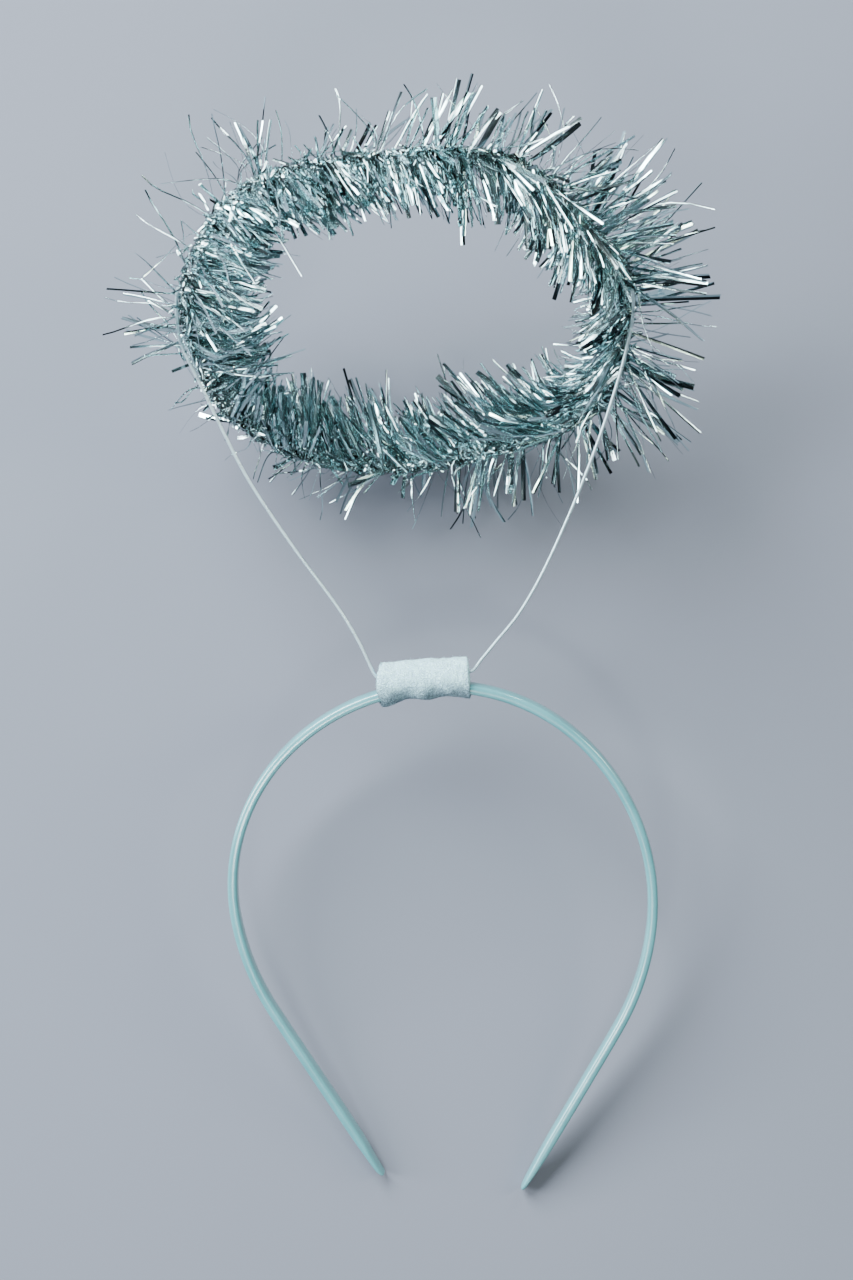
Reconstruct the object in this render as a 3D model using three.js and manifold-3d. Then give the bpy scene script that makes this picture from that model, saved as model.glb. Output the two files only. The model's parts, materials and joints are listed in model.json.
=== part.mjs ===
// Halo headband: a thin plastic band, a felt sleeve wound round its crown, a bent wire that rises
// from the sleeve in a V, and a ring of tinsel garland on the wire's ends.
// Millimetres and degrees. The headpiece is drawn flat, in the band's own plane: x to the wearer's
// side, y from the band's tips to the ring, z out of the plane. It is then laid on its back, on both
// tips and the ring's low side, with +Z up.

import * as THREE from 'three';
import { mergeVertices } from 'three/addons/utils/BufferGeometryUtils.js';
import Module from 'manifold-3d';

const wasm = await Module();
wasm.setup();

// Gap that neighbouring pieces keep.
const clearance = 0.3;

// Headband, to mid thickness: on each side the crown's arcs and then a straight leg.
const crownRadius = 63;
const leftLegLength = 61.5;
const rightLegLength = 59;
const bandThickness = 3.3;
const bandDepth = 6;
const bandChamfer = 0.7;
const leftLegTwist = 6;
const leftTipLength = 14;
const rightTipLength = 18;

// Felt sleeve: one strip, rolled once round the wire and then once round wire and band.
const sleeveLength = 28;
const sleevePlace = 5.2;
const feltThickness = 1.2;
const feltLayerGap = 0.3;
const sleeveEndSlant = 1.4;

// Support wire: its middle lies in the sleeve, above the band.
const wireDiameter = 1;
const wireRiseLeft = 5.2;
const wireRiseRight = 4.1;
const wireBendIn = 0.7;
const wireBendDip = 0.65;
const wireKinkOut = 3.4;
const wireKinkRise = 2.1;
const leftJoinAngle = 188;
const leftTailAngle = 168;
const leftTailTurn = 45;
const rightJoinAngle = 358;
const rightTailAngle = 372;
const rightTailTurn = 78;

// Tinsel ring: the ring's middle from the crown arc's centre, and its lean to the band's plane.
const ringRadius = 65.3;
const ringCentreX = -10.7;
const ringCentreY = 173.3;
const ringLean = 35.8;
const coreRadius = 3;
const lockLength = 22;
const lockWidth = 7.2;
const lockThickness = 1.1;
const lockLean = 24;
const combTurn = 49;
const lockStations = 36;
const restHeight = 16;

// Arcs of each side from the crown's top down: radius as a share of the crown's, and sweep.
const leftArcs = [
  { bend: 1.01, sweep: 46.7 },
  { bend: 0.975, sweep: 52.8 },
  { bend: 1.32, sweep: 22.6 },
];
const rightArcs = [
  { bend: 0.95, sweep: 43.3 },
  { bend: 1.14, sweep: 52.4 },
  { bend: 1.34, sweep: 23.2 },
];

// Tip shapes: place as a share of the tip's length from its end, then shares of thickness and
// depth, and the shift to the band's inner side as a share of its thickness.
const leftTipShape = [
  { fromEnd: 0, thick: 0.2, deep: 0.62, inward: 0.08 },
  { fromEnd: 0.04, thick: 0.36, deep: 0.8, inward: -0.01 },
  { fromEnd: 0.16, thick: 0.56, deep: 0.94, inward: -0.09 },
  { fromEnd: 0.6, thick: 0.74, deep: 1, inward: -0.05 },
  { fromEnd: 1, thick: 1, deep: 1, inward: 0 },
];
const rightTipShape = [
  { fromEnd: 0, thick: 0.24, deep: 0.5, inward: 0.03 },
  { fromEnd: 0.04, thick: 0.42, deep: 0.74, inward: 0.02 },
  { fromEnd: 0.16, thick: 0.58, deep: 0.92, inward: 0.01 },
  { fromEnd: 0.5, thick: 0.78, deep: 1, inward: 0 },
  { fromEnd: 1, thick: 1, deep: 1, inward: 0 },
];

// Sleeve stations: along its half length, then how far the felt stands below its smooth form under
// the band, and above it over the roll, as shares of the felt's thickness.
const sleeveForm = [
  { along: -0.955, under: 0.35, over: 0 },
  { along: -0.78, under: 0.95, over: 0 },
  { along: -0.32, under: 0, over: 0.1 },
  { along: 0.12, under: 0.7, over: 0.4 },
  { along: 0.5, under: 0.1, over: 0.3 },
  { along: 1, under: 0.15, over: 0.2 },
];

// Bow of each wire leg to the outside, as a share of the leg's straight length.
const leftLegBow = [
  { along: 0.06, out: -0.006 },
  { along: 0.18, out: -0.006 },
  { along: 0.35, out: 0.012 },
  { along: 0.5, out: 0.024 },
  { along: 0.62, out: 0.028 },
  { along: 0.76, out: 0.02 },
  { along: 0.88, out: 0.01 },
];
const rightLegBow = [
  { along: 0.08, out: 0.021 },
  { along: 0.16, out: 0.042 },
  { along: 0.28, out: 0.055 },
  { along: 0.42, out: 0.057 },
  { along: 0.56, out: 0.053 },
  { along: 0.72, out: 0.042 },
  { along: 0.9, out: 0.02 },
];

// How far the ring's core stands from its middle, round the ring, as a share of its radius.
const ringForm = [
  { at: 15, reach: 1.005 },
  { at: 36, reach: 0.966 },
  { at: 64, reach: 1.04 },
  { at: 84, reach: 0.985 },
  { at: 102, reach: 0.963 },
  { at: 130, reach: 1.027 },
  { at: 155, reach: 1.003 },
  { at: 180, reach: 0.98 },
  { at: 200, reach: 0.985 },
  { at: 220, reach: 1.024 },
  { at: 250, reach: 1.008 },
  { at: 292, reach: 0.957 },
  { at: 328, reach: 1.043 },
  { at: 350, reach: 0.985 },
];

// Fan of locks at a station of the ring: turn round the core from the combed direction, and shares
// of the lock's length and width.
const innerFan = [
  { turn: -58, long: 0.88, wide: 0.9 },
  { turn: -8, long: 1, wide: 1 },
  { turn: 44, long: 0.96, wide: 0.95 },
];
const outerFan = [
  { turn: 128, long: 0.98, wide: 0.8 },
  { turn: 176, long: 1.2, wide: 0.75 },
  { turn: 222, long: 1.02, wide: 0.8 },
];
const wispFan = [
  { turn: 150, long: 0.86, wide: 0.36 },
  { turn: 195, long: 1.06, wide: 0.36 },
];
const outerFanFrom = -98;
const outerFanTo = 66;
const wispEvery = 2;

// Length of the inner locks round the ring, as a share of the lock's length.
const innerReach = [
  { at: 0, long: 0.78 },
  { at: 55, long: 0.8 },
  { at: 90, long: 0.86 },
  { at: 135, long: 0.92 },
  { at: 180, long: 1.02 },
  { at: 270, long: 1.1 },
  { at: 325, long: 1 },
  { at: 360, long: 0.78 },
];

const wireRadius = wireDiameter / 2;
const rad = THREE.MathUtils.degToRad;
const up = new THREE.Vector3(0, 0, 1);

// Smooth value from a table whose rows are in order of one column.
function fromTable(rows, key, value, at) {
  const last = rows.length - 1;
  if (at <= rows[0][key]) {
    return rows[0][value];
  }
  for (let i = 0; i < last; i += 1) {
    const from = rows[i];
    const to = rows[i + 1];
    if (at <= to[key]) {
      const t = (at - from[key]) / (to[key] - from[key]);
      return from[value] + (to[value] - from[value]) * t * t * (3 - 2 * t);
    }
  }
  return rows[last][value];
}

// Closed mesh through rings of points, all with the same number of points, with flat end caps.
// The cap outline is given in the plane of the section.
function loft(rings, outline) {
  const size = outline.length;
  const positions = [];
  const triangles = [];
  rings.forEach((ring) => ring.forEach((p) => positions.push(p.x, p.y, p.z)));
  for (let r = 0; r + 1 < rings.length; r += 1) {
    for (let i = 0; i < size; i += 1) {
      const a = r * size + i;
      const b = r * size + ((i + 1) % size);
      triangles.push(a, b, b + size, a, b + size, a + size);
    }
  }
  const cap = THREE.ShapeUtils.triangulateShape([...outline], []);
  const end = (rings.length - 1) * size;
  cap.forEach(([a, b, c]) => {
    triangles.push(a, c, b);
    triangles.push(end + a, end + b, end + c);
  });
  const geometry = new THREE.BufferGeometry();
  geometry.setAttribute('position', new THREE.Float32BufferAttribute(positions, 3));
  geometry.setIndex(triangles);
  return geometry;
}

// Ring of points of a section placed at a point with two directions across the path.
function placeSection(outline, centre, across, outward) {
  return outline.map((p) => centre.clone().addScaledVector(across, p.x).addScaledVector(outward, p.y));
}

function circleOutline(radius, sides) {
  const outline = [];
  for (let i = 0; i < sides; i += 1) {
    const angle = (i / sides) * 2 * Math.PI;
    outline.push(new THREE.Vector2(radius * Math.cos(angle), radius * Math.sin(angle)));
  }
  return outline;
}

// Round tube through points, with frames carried along the path without twist.
function tube(points, radius, sides) {
  const outline = circleOutline(radius, sides);
  const rings = [];
  let across = null;
  points.forEach((point, i) => {
    const before = points[Math.max(i - 1, 0)];
    const after = points[Math.min(i + 1, points.length - 1)];
    const along = after.clone().sub(before).normalize();
    if (across === null) {
      across = new THREE.Vector3(0, 0, 1).cross(along).normalize();
    }
    across.addScaledVector(along, -across.dot(along)).normalize();
    const other = along.clone().cross(across);
    rings.push(placeSection(outline, point, across, other));
  });
  return loft(rings, outline);
}

function toSolid(geometry) {
  const bare = new THREE.BufferGeometry();
  bare.setAttribute('position', geometry.getAttribute('position').clone());
  if (geometry.index) {
    bare.setIndex(geometry.index.clone());
  }
  const merged = mergeVertices(bare, 1e-4);
  return new wasm.Manifold(new wasm.Mesh({
    numProp: 3,
    vertProperties: new Float32Array(merged.getAttribute('position').array),
    triVerts: new Uint32Array(merged.index.array),
  }));
}

function toGeometry(solid) {
  const mesh = solid.getMesh();
  const geometry = new THREE.BufferGeometry();
  geometry.setAttribute('position', new THREE.BufferAttribute(new Float32Array(mesh.vertProperties), 3));
  geometry.setIndex(new THREE.BufferAttribute(new Uint32Array(mesh.triVerts), 1));
  return geometry;
}

// Headband

// Centre line of one side, from the crown's top to the tip: place, direction to the inner side,
// twist and the section's shares. side is -1 for the left and 1 for the right.
function sideLine(side, arcs, legLength) {
  const arcStep = 5;
  const stations = [{ x: 0, y: crownRadius, turn: 0, run: 0 }];
  arcs.forEach((arc) => {
    const start = stations[stations.length - 1];
    const radius = arc.bend * crownRadius;
    const centreX = start.x - radius * Math.sin(rad(start.turn));
    const centreY = start.y - radius * Math.cos(rad(start.turn));
    const steps = Math.ceil(arc.sweep / arcStep);
    for (let i = 1; i <= steps; i += 1) {
      const turned = (arc.sweep * i) / steps;
      const turn = start.turn + turned;
      stations.push({
        x: centreX + radius * Math.sin(rad(turn)),
        y: centreY + radius * Math.cos(rad(turn)),
        turn,
        run: start.run + radius * rad(turned),
      });
    }
  });
  const knee = stations[stations.length - 1];
  const legAt = (distance) => ({
    x: knee.x + distance * Math.cos(rad(knee.turn)),
    y: knee.y - distance * Math.sin(rad(knee.turn)),
    turn: knee.turn,
    run: knee.run + distance,
  });
  const tipShape = side < 0 ? leftTipShape : rightTipShape;
  const tipLength = side < 0 ? leftTipLength : rightTipLength;
  stations.push(legAt((legLength - tipLength) / 2));
  [...tipShape].reverse().forEach((row) => stations.push(legAt(legLength - row.fromEnd * tipLength)));
  const length = knee.run + legLength;
  return stations.map((station) => {
    const fromEnd = (length - station.run) / tipLength;
    return {
      x: side * station.x,
      y: station.y,
      inX: -side * Math.sin(rad(station.turn)),
      inY: -Math.cos(rad(station.turn)),
      twist: side < 0 ? leftLegTwist * (station.run / length) : 0,
      thick: fromTable(tipShape, 'fromEnd', 'thick', fromEnd),
      deep: fromTable(tipShape, 'fromEnd', 'deep', fromEnd),
      inward: fromTable(tipShape, 'fromEnd', 'inward', fromEnd),
    };
  });
}

function bandOutline(thickness, depth) {
  const chamfer = Math.min(bandChamfer, thickness / 3);
  const halfT = thickness / 2;
  const halfD = depth / 2;
  return [
    new THREE.Vector2(halfT, -halfD + chamfer),
    new THREE.Vector2(halfT, halfD - chamfer),
    new THREE.Vector2(halfT - chamfer, halfD),
    new THREE.Vector2(-halfT + chamfer, halfD),
    new THREE.Vector2(-halfT, halfD - chamfer),
    new THREE.Vector2(-halfT, -halfD + chamfer),
    new THREE.Vector2(-halfT + chamfer, -halfD),
    new THREE.Vector2(halfT - chamfer, -halfD),
  ];
}

function bandGeometry() {
  const left = sideLine(-1, leftArcs, leftLegLength);
  const right = sideLine(1, rightArcs, rightLegLength);
  const line = [...left.reverse(), ...right.slice(1)];
  const rings = line.map((station) => {
    const outward = new THREE.Vector3(-station.inX, -station.inY, 0);
    const centre = new THREE.Vector3(station.x, station.y, 0);
    centre.addScaledVector(outward, -station.inward * bandThickness);
    const turn = new THREE.Quaternion().setFromAxisAngle(
      new THREE.Vector3(-outward.y, outward.x, 0),
      rad(station.twist),
    );
    const across = outward.clone().applyQuaternion(turn);
    const depthwise = up.clone().applyQuaternion(turn);
    const outline = bandOutline(bandThickness * station.thick, bandDepth * station.deep);
    return placeSection(outline, centre, across, depthwise);
  });
  return loft(rings, bandOutline(bandThickness, bandDepth));
}

// Felt sleeve and the wire's seat in it

// Rise of the wire's middle above the band's centre line, along the sleeve.
function wireRise(along) {
  return THREE.MathUtils.lerp(wireRiseLeft, wireRiseRight, (along + 1) / 2);
}

// Point over the crown: along the sleeve, up from the band's centre line there, and out of plane.
// What lies low follows the band's arc, and the roll above it stays straight.
function overCrown(s, rise, z) {
  const arcDrop = crownRadius - Math.sqrt(crownRadius * crownRadius - s * s);
  const straight = THREE.MathUtils.clamp(rise / (wireRiseLeft + wireRadius), 0, 1);
  const radius = crownRadius + rise - arcDrop * (1 - straight);
  const turn = rad(sleevePlace);
  return new THREE.Vector3(
    s * Math.cos(turn) - radius * Math.sin(turn),
    s * Math.sin(turn) + radius * Math.cos(turn),
    z,
  );
}

// Middle line of the felt strip in the sleeve's section, as { rise, z, top }. It starts between
// band and wire, turns over the wire from the front, goes down the back, under the band, up the
// front and once more over the top, to a free end at the back. top is 1 on the outermost layer.
function feltLine(along) {
  const pitch = feltThickness + feltLayerGap;
  const seat = bandThickness / 2 + clearance + feltThickness / 2;
  const firstTop = wireRise(along) + wireRadius + clearance + feltThickness / 2;
  const middle = (seat + firstTop) / 2;
  const side = bandDepth / 2 + clearance + feltThickness / 2;
  const below = -seat;
  const fold = feltThickness;
  const bend = feltThickness;
  const backBend = 2 * feltThickness;
  const line = [];
  const add = (rise, z, top = 0) => line.push({ rise, z, top });
  const arc = (centreRise, centreZ, radius, from, to, top = 0) => {
    for (let angle = from; angle <= to; angle += 30) {
      add(centreRise - radius * Math.cos(rad(angle)), centreZ + radius * Math.sin(rad(angle)), top);
    }
  };
  add(seat, -1.3 * feltThickness);
  arc(middle, fold, middle - seat, 0, 180);
  arc(firstTop - backBend, backBend - side, backBend, 180, 270);
  arc(below + bend, bend - side, bend, 270, 360);
  arc(below + bend, side - bend, bend, 0, 90);
  add(bandThickness / 2, side);
  arc(middle, fold, middle - seat + pitch, 90, 180, 1);
  add(firstTop + pitch, -0.9 * feltThickness, 1);
  add(firstTop + 0.8 * pitch, -1.8 * feltThickness, 1);
  return line;
}

// Closed outline of the strip: one side out and the other side back.
function feltOutline(line) {
  const half = feltThickness / 2;
  const sides = [-half, half].map((offset) => line.map((point, i) => {
    const before = line[Math.max(i - 1, 0)];
    const after = line[Math.min(i + 1, line.length - 1)];
    const dir = new THREE.Vector2(after.rise - before.rise, after.z - before.z).normalize();
    return { rise: point.rise - dir.y * offset, z: point.z + dir.x * offset, top: point.top };
  }));
  return [...sides[0], ...sides[1].reverse()];
}

function sleeveGeometry() {
  const half = sleeveLength / 2;
  const rings = sleeveForm.map((station, index) => feltOutline(feltLine(station.along)).map((point) => {
    const under = point.rise < 0 ? station.under * feltThickness : 0;
    const over = point.top * station.over * feltThickness;
    const slant = index === 0 ? sleeveEndSlant * point.top : 0;
    return overCrown(station.along * half + slant, point.rise - under + over, point.z);
  }));
  const outline = feltOutline(feltLine(0)).map((p) => new THREE.Vector2(p.rise, p.z));
  return loft(rings, outline);
}

// Ring

// Smooth closed value round the ring from its table.
function ringReach(angle) {
  const count = ringForm.length;
  const at = ((angle % 360) + 360) % 360;
  let i = ringForm.findIndex((row) => row.at > at);
  if (i < 0) {
    i = count;
  }
  const row = (k) => ringForm[((k % count) + count) % count];
  const place = (k) => row(k).at + 360 * Math.floor(k / count);
  const t = (at - place(i - 1)) / (place(i) - place(i - 1));
  const [a, b, c, d] = [row(i - 2), row(i - 1), row(i), row(i + 1)].map((r) => r.reach);
  const bend = (2 * a - 5 * b + 4 * c - d) * t * t + (-a + 3 * b - 3 * c + d) * t * t * t;
  return 0.5 * (2 * b + (c - a) * t + bend);
}

const ringMiddle = new THREE.Vector3(ringCentreX, ringCentreY, 0);
const ringRise = new THREE.Vector3(0, Math.cos(rad(ringLean)), Math.sin(rad(ringLean)));
const ringNormal = new THREE.Vector3(0, -Math.sin(rad(ringLean)), Math.cos(rad(ringLean)));

function ringPoint(angle, outward = 0, front = 0) {
  const radius = ringRadius * ringReach(angle) + outward;
  return ringMiddle.clone()
    .add(new THREE.Vector3(radius * Math.cos(rad(angle)), 0, 0))
    .addScaledVector(ringRise, radius * Math.sin(rad(angle)))
    .addScaledVector(ringNormal, front);
}

// Support wire

// One leg: from a point by the sleeve to a point by the ring, bowed outwards as its table says.
function legPoints(from, to, bow, side) {
  const span = to.clone().sub(from);
  const outward = new THREE.Vector3(span.y, -span.x, 0).normalize().multiplyScalar(side);
  return bow.map((row) => from.clone()
    .addScaledVector(span, row.along)
    .addScaledVector(outward, row.out * span.length()));
}

function wirePath() {
  const half = sleeveLength / 2;
  const bend = 2 * wireDiameter;
  const tailStep = 4;
  // Each tail lies in a groove of the core, turned by its angle from the outer side to the front.
  const tail = (from, to, turn) => {
    const steps = Math.max(Math.round(Math.abs(to - from) / tailStep), 1);
    const outward = coreRadius * Math.cos(rad(turn));
    const front = coreRadius * Math.sin(rad(turn));
    return Array.from(
      { length: steps + 1 },
      (_, i) => ringPoint(from + ((to - from) * i) / steps, outward, front),
    );
  };
  const leftTail = tail(leftTailAngle, leftJoinAngle, leftTailTurn);
  const rightTail = tail(rightJoinAngle, rightTailAngle, rightTailTurn);
  // The left leg bends in the sleeve's mouth, and the right one outside it.
  const leftBend = overCrown(wireBendIn - half, wireRise(-1) - wireBendDip, 0);
  const leftFoot = leftBend.clone().add(new THREE.Vector3(-0.88 * bend, 1.34 * bend, 0));
  const rightExit = overCrown(half + 0.4 * bend, wireRise(1), 0);
  const kink = overCrown(half + wireKinkOut, wireRise(1) + wireKinkRise, 0);
  const seatEnd = 0.7;
  const points = [
    ...leftTail,
    ...legPoints(leftFoot, leftTail[leftTail.length - 1], leftLegBow, -1).reverse(),
    leftFoot,
    leftBend,
    overCrown(-half * seatEnd, wireRise(-seatEnd), 0),
    overCrown(half * seatEnd, wireRise(seatEnd), 0),
    rightExit,
    kink,
    ...legPoints(kink, rightTail[0], rightLegBow, 1),
    ...rightTail,
  ];
  const curve = new THREE.CatmullRomCurve3(points, false, 'centripetal');
  const stepsPerSpan = 2;
  return curve.getPoints((points.length - 1) * stepsPerSpan);
}

const wireSides = 6;

function wireGeometry() {
  return tube(wirePath(), wireRadius, wireSides);
}

// Tinsel ring

// Repeatable number from 0 to 1 for a lock.
function vary(i, j) {
  const value = Math.sin(12.9898 * (i + 1) + 78.233 * (j + 1)) * 43758.5453;
  return value - Math.floor(value);
}

// Axes of the ring's core at an angle: along it, to the ring's middle and square to both.
function coreAxes(angle) {
  const step = 0.5;
  const along = ringPoint(angle - step).sub(ringPoint(angle + step)).normalize();
  const inward = ringMiddle.clone().sub(ringPoint(angle));
  inward.addScaledVector(along, -inward.dot(along)).normalize();
  return { along, inward, side: ringNormal.clone() };
}

// One lock: a bent blade of three sections, rooted in the core.
function lockGeometry(angle, fan, i, j) {
  const axes = coreAxes(angle);
  const turn = rad(fan.turn + combTurn * Math.sin(rad(angle)) + 16 * (vary(i, j) - 0.5));
  const lean = Math.tan(rad(lockLean * (0.6 + 0.8 * vary(j, i))));
  const away = axes.inward.clone().multiplyScalar(Math.cos(turn)).addScaledVector(axes.side, Math.sin(turn));
  const thin = away.clone().cross(axes.along).normalize();
  const length = lockLength * fan.long * (0.88 + 0.24 * vary(i + 7, j + 3));
  const width = lockWidth * fan.wide;
  const root = ringPoint(angle);
  const form = [
    { out: 0.02, lean: 0, wide: 0.45, thick: 1, curl: 0 },
    { out: 0.55, lean: 0.45, wide: 1, thick: 1, curl: 0.04 },
    { out: 1, lean: 1, wide: 0.72, thick: 0.6, curl: -0.05 },
  ];
  const rings = form.map((row) => {
    const centre = root.clone()
      .addScaledVector(away, length * row.out)
      .addScaledVector(axes.along, length * lean * row.lean)
      .addScaledVector(thin, length * row.curl * (2 * vary(i + 3, j + 11) - 1) * 2);
    const halfW = (width * row.wide) / 2;
    const halfT = (lockThickness * row.thick) / 2;
    const outline = [
      new THREE.Vector2(halfW, -halfT),
      new THREE.Vector2(halfW, halfT),
      new THREE.Vector2(-halfW, halfT),
      new THREE.Vector2(-halfW, -halfT),
    ];
    return placeSection(outline, centre, axes.along, thin);
  });
  const outline = [[1, -1], [1, 1], [-1, 1], [-1, -1]].map(([x, y]) => new THREE.Vector2(x, y));
  return loft(rings, outline);
}

// Locks at a station. Every second station's inner locks lie between their neighbours'.
function fanAt(angle, i) {
  const signed = angle > 180 ? angle - 360 : angle;
  const shift = (i % 2) * (innerFan[1].turn - innerFan[0].turn) / 2;
  const reach = fromTable(innerReach, 'at', 'long', angle);
  const inner = innerFan.map((fan) => ({ turn: fan.turn + shift, long: fan.long * reach, wide: fan.wide }));
  if (signed > outerFanFrom && signed < outerFanTo) {
    return [...inner, ...outerFan];
  }
  return i % wispEvery === 0 ? [...inner, ...wispFan] : inner;
}

const coreSides = 8;

function coreGeometry() {
  const stations = 72;
  const outline = circleOutline(coreRadius, coreSides);
  const positions = [];
  const triangles = [];
  for (let i = 0; i < stations; i += 1) {
    const angle = (360 * i) / stations;
    const axes = coreAxes(angle);
    placeSection(outline, ringPoint(angle), axes.inward, axes.side)
      .forEach((p) => positions.push(p.x, p.y, p.z));
  }
  for (let i = 0; i < stations; i += 1) {
    const next = ((i + 1) % stations) * coreSides;
    for (let k = 0; k < coreSides; k += 1) {
      const a = i * coreSides + k;
      const b = i * coreSides + ((k + 1) % coreSides);
      const c = next + ((k + 1) % coreSides);
      const d = next + k;
      triangles.push(a, b, c, a, c, d);
    }
  }
  const geometry = new THREE.BufferGeometry();
  geometry.setAttribute('position', new THREE.Float32BufferAttribute(positions, 3));
  geometry.setIndex(triangles);
  return geometry;
}

// Plane that the laid-down piece rests on: it touches both legs of the band from behind, and
// passes below the ring's core by the rest height.
function restPlane(bandPoints) {
  const ringSamples = Array.from({ length: 120 }, (_, i) => ringPoint(3 * i));
  const lowest = (points, normal) => points.reduce((a, b) => (a.dot(normal) < b.dot(normal) ? a : b));
  const leftPoints = bandPoints.filter((p) => p.x < 0);
  const rightPoints = bandPoints.filter((p) => p.x > 0);
  let normal = up.clone();
  let foot = new THREE.Vector3();
  for (let i = 0; i < 12; i += 1) {
    foot = lowest(ringSamples, normal).clone().addScaledVector(normal, -restHeight);
    const left = lowest(leftPoints, normal);
    const right = lowest(rightPoints, normal);
    normal = right.clone().sub(left).cross(foot.clone().sub(left)).normalize();
  }
  return { normal, foot };
}

function pointsOf(geometry) {
  const attribute = geometry.getAttribute('position');
  return Array.from({ length: attribute.count }, (_, i) => new THREE.Vector3().fromBufferAttribute(attribute, i));
}

// Locks that the wire would cut are left out, and the wire's tails lie in grooves of the core.
function tinselGeometry(plane) {
  const wireRoom = toSolid(tube(wirePath(), wireRadius + clearance, wireSides));
  let ring = toSolid(coreGeometry());
  for (let i = 0; i < lockStations; i += 1) {
    const angle = (360 * i) / lockStations;
    fanAt(angle, i).forEach((fan, j) => {
      const lock = toSolid(lockGeometry(angle + 5 * (vary(j, i) - 0.5), fan, i, j));
      if (lock.intersect(wireRoom).isEmpty()) {
        ring = ring.add(lock);
      }
    });
  }
  ring = ring.subtract(wireRoom);
  const reach = 4 * (ringRadius + lockLength);
  const floor = new THREE.BoxGeometry(reach, reach, reach);
  floor.applyQuaternion(new THREE.Quaternion().setFromUnitVectors(up, plane.normal));
  const below = plane.foot.clone().addScaledVector(plane.normal, -reach / 2);
  floor.translate(below.x, below.y, below.z);
  return toGeometry(ring.subtract(toSolid(floor)));
}

function part(name, geometry, look) {
  const mesh = new THREE.Mesh(geometry, new THREE.MeshStandardMaterial(look));
  mesh.name = name;
  return mesh;
}

const bandShape = bandGeometry();
const plane = restPlane(pointsOf(bandShape));

const headpiece = new THREE.Group();
headpiece.add(
  part('headband', bandShape, { color: 0xbfe0de, roughness: 0.28, metalness: 0 }),
  part('crown_sleeve', sleeveGeometry(), { color: 0xdfe9ee, roughness: 0.95, metalness: 0 }),
  part('support_wire', wireGeometry(), { color: 0xc9d6da, roughness: 0.3, metalness: 0.9 }),
  part('tinsel_ring', tinselGeometry(plane), { color: 0xc4d6d8, roughness: 0.18, metalness: 0.95 }),
);
headpiece.quaternion.setFromUnitVectors(plane.normal, up);

// The origin is under the middle of the whole, on the surface that it lies on.
const halo = new THREE.Group();
halo.add(headpiece);
halo.updateMatrixWorld(true);
const box = new THREE.Box3().setFromObject(halo, true);
headpiece.position.set(-(box.min.x + box.max.x) / 2, -(box.min.y + box.max.y) / 2, -box.min.z);

export default halo;
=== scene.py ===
"""Looks of a halo headband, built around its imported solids.

Lengths are in metres and angles in degrees unless a name says otherwise. The frame's axes hold:
x to the side, y from the band's tips to the halo, z up, with the headpiece lying on its back.
"""

import json
import math
import random

import bmesh
import bpy
from bpy.props import FloatProperty, FloatVectorProperty, IntProperty, PointerProperty
from mathutils import Matrix, Vector, noise

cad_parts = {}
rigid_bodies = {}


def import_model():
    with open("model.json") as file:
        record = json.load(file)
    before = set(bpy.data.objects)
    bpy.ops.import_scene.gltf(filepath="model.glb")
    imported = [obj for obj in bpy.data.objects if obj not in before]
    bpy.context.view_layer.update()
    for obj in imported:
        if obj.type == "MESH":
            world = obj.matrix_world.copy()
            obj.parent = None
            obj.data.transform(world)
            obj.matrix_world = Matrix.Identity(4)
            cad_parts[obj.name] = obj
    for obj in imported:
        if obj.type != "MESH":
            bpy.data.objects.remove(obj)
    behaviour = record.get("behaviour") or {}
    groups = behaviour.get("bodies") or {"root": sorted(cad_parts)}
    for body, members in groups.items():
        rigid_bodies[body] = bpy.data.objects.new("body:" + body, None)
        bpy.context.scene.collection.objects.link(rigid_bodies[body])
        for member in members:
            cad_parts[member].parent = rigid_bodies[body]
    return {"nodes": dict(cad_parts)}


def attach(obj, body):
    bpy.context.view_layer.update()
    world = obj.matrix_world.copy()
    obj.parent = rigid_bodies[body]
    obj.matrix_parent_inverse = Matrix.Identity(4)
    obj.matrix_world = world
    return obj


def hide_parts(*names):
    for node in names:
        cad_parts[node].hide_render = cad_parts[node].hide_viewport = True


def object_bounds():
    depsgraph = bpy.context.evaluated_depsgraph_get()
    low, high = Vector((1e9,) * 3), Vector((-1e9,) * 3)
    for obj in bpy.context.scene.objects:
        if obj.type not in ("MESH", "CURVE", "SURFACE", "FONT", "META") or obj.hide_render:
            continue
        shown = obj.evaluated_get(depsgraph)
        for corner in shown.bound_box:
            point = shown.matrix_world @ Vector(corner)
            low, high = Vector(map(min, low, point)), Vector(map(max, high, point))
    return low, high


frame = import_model()
solids_low, solids_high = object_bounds()

bl_info = {
    "name": "Halo Headband",
    "version": (1, 0, 0),
    "blender": (4, 5, 0),
    "location": "View3D > Sidebar > Halo",
    "description": "Dresses the solids of a tinsel halo headband",
    "category": "Object",
}

ROOT = "root"
UP = Vector((0, 0, 1))
MM = 0.001

# Ring of the halo, in the band's own plane: x to the side, y from tips to ring, z out of plane.
RING_RADIUS = 65.3 * MM
RING_MIDDLE = Vector((-10.7, 173.3, 0)) * MM
RING_LEAN = 35.8
CORE_RADIUS = 3 * MM
LEFT_TAIL_ANGLE = 168
LEFT_TAIL_TURN = 45
RIGHT_TAIL_ANGLE = 372
RIGHT_TAIL_TURN = 78

# How far the core stands from the ring's middle, as rows of angle and share of the radius.
RING_FORM = (
    (15, 1.005), (36, 0.966), (64, 1.04), (84, 0.985), (102, 0.963), (130, 1.027), (155, 1.003),
    (180, 0.98), (200, 0.985), (220, 1.024), (250, 1.008), (292, 0.957), (328, 1.043), (350, 0.985),
)

# How far the pile is combed out of the ring's plane, at the ring's top and bottom.
COMB_TURN = 49

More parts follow.
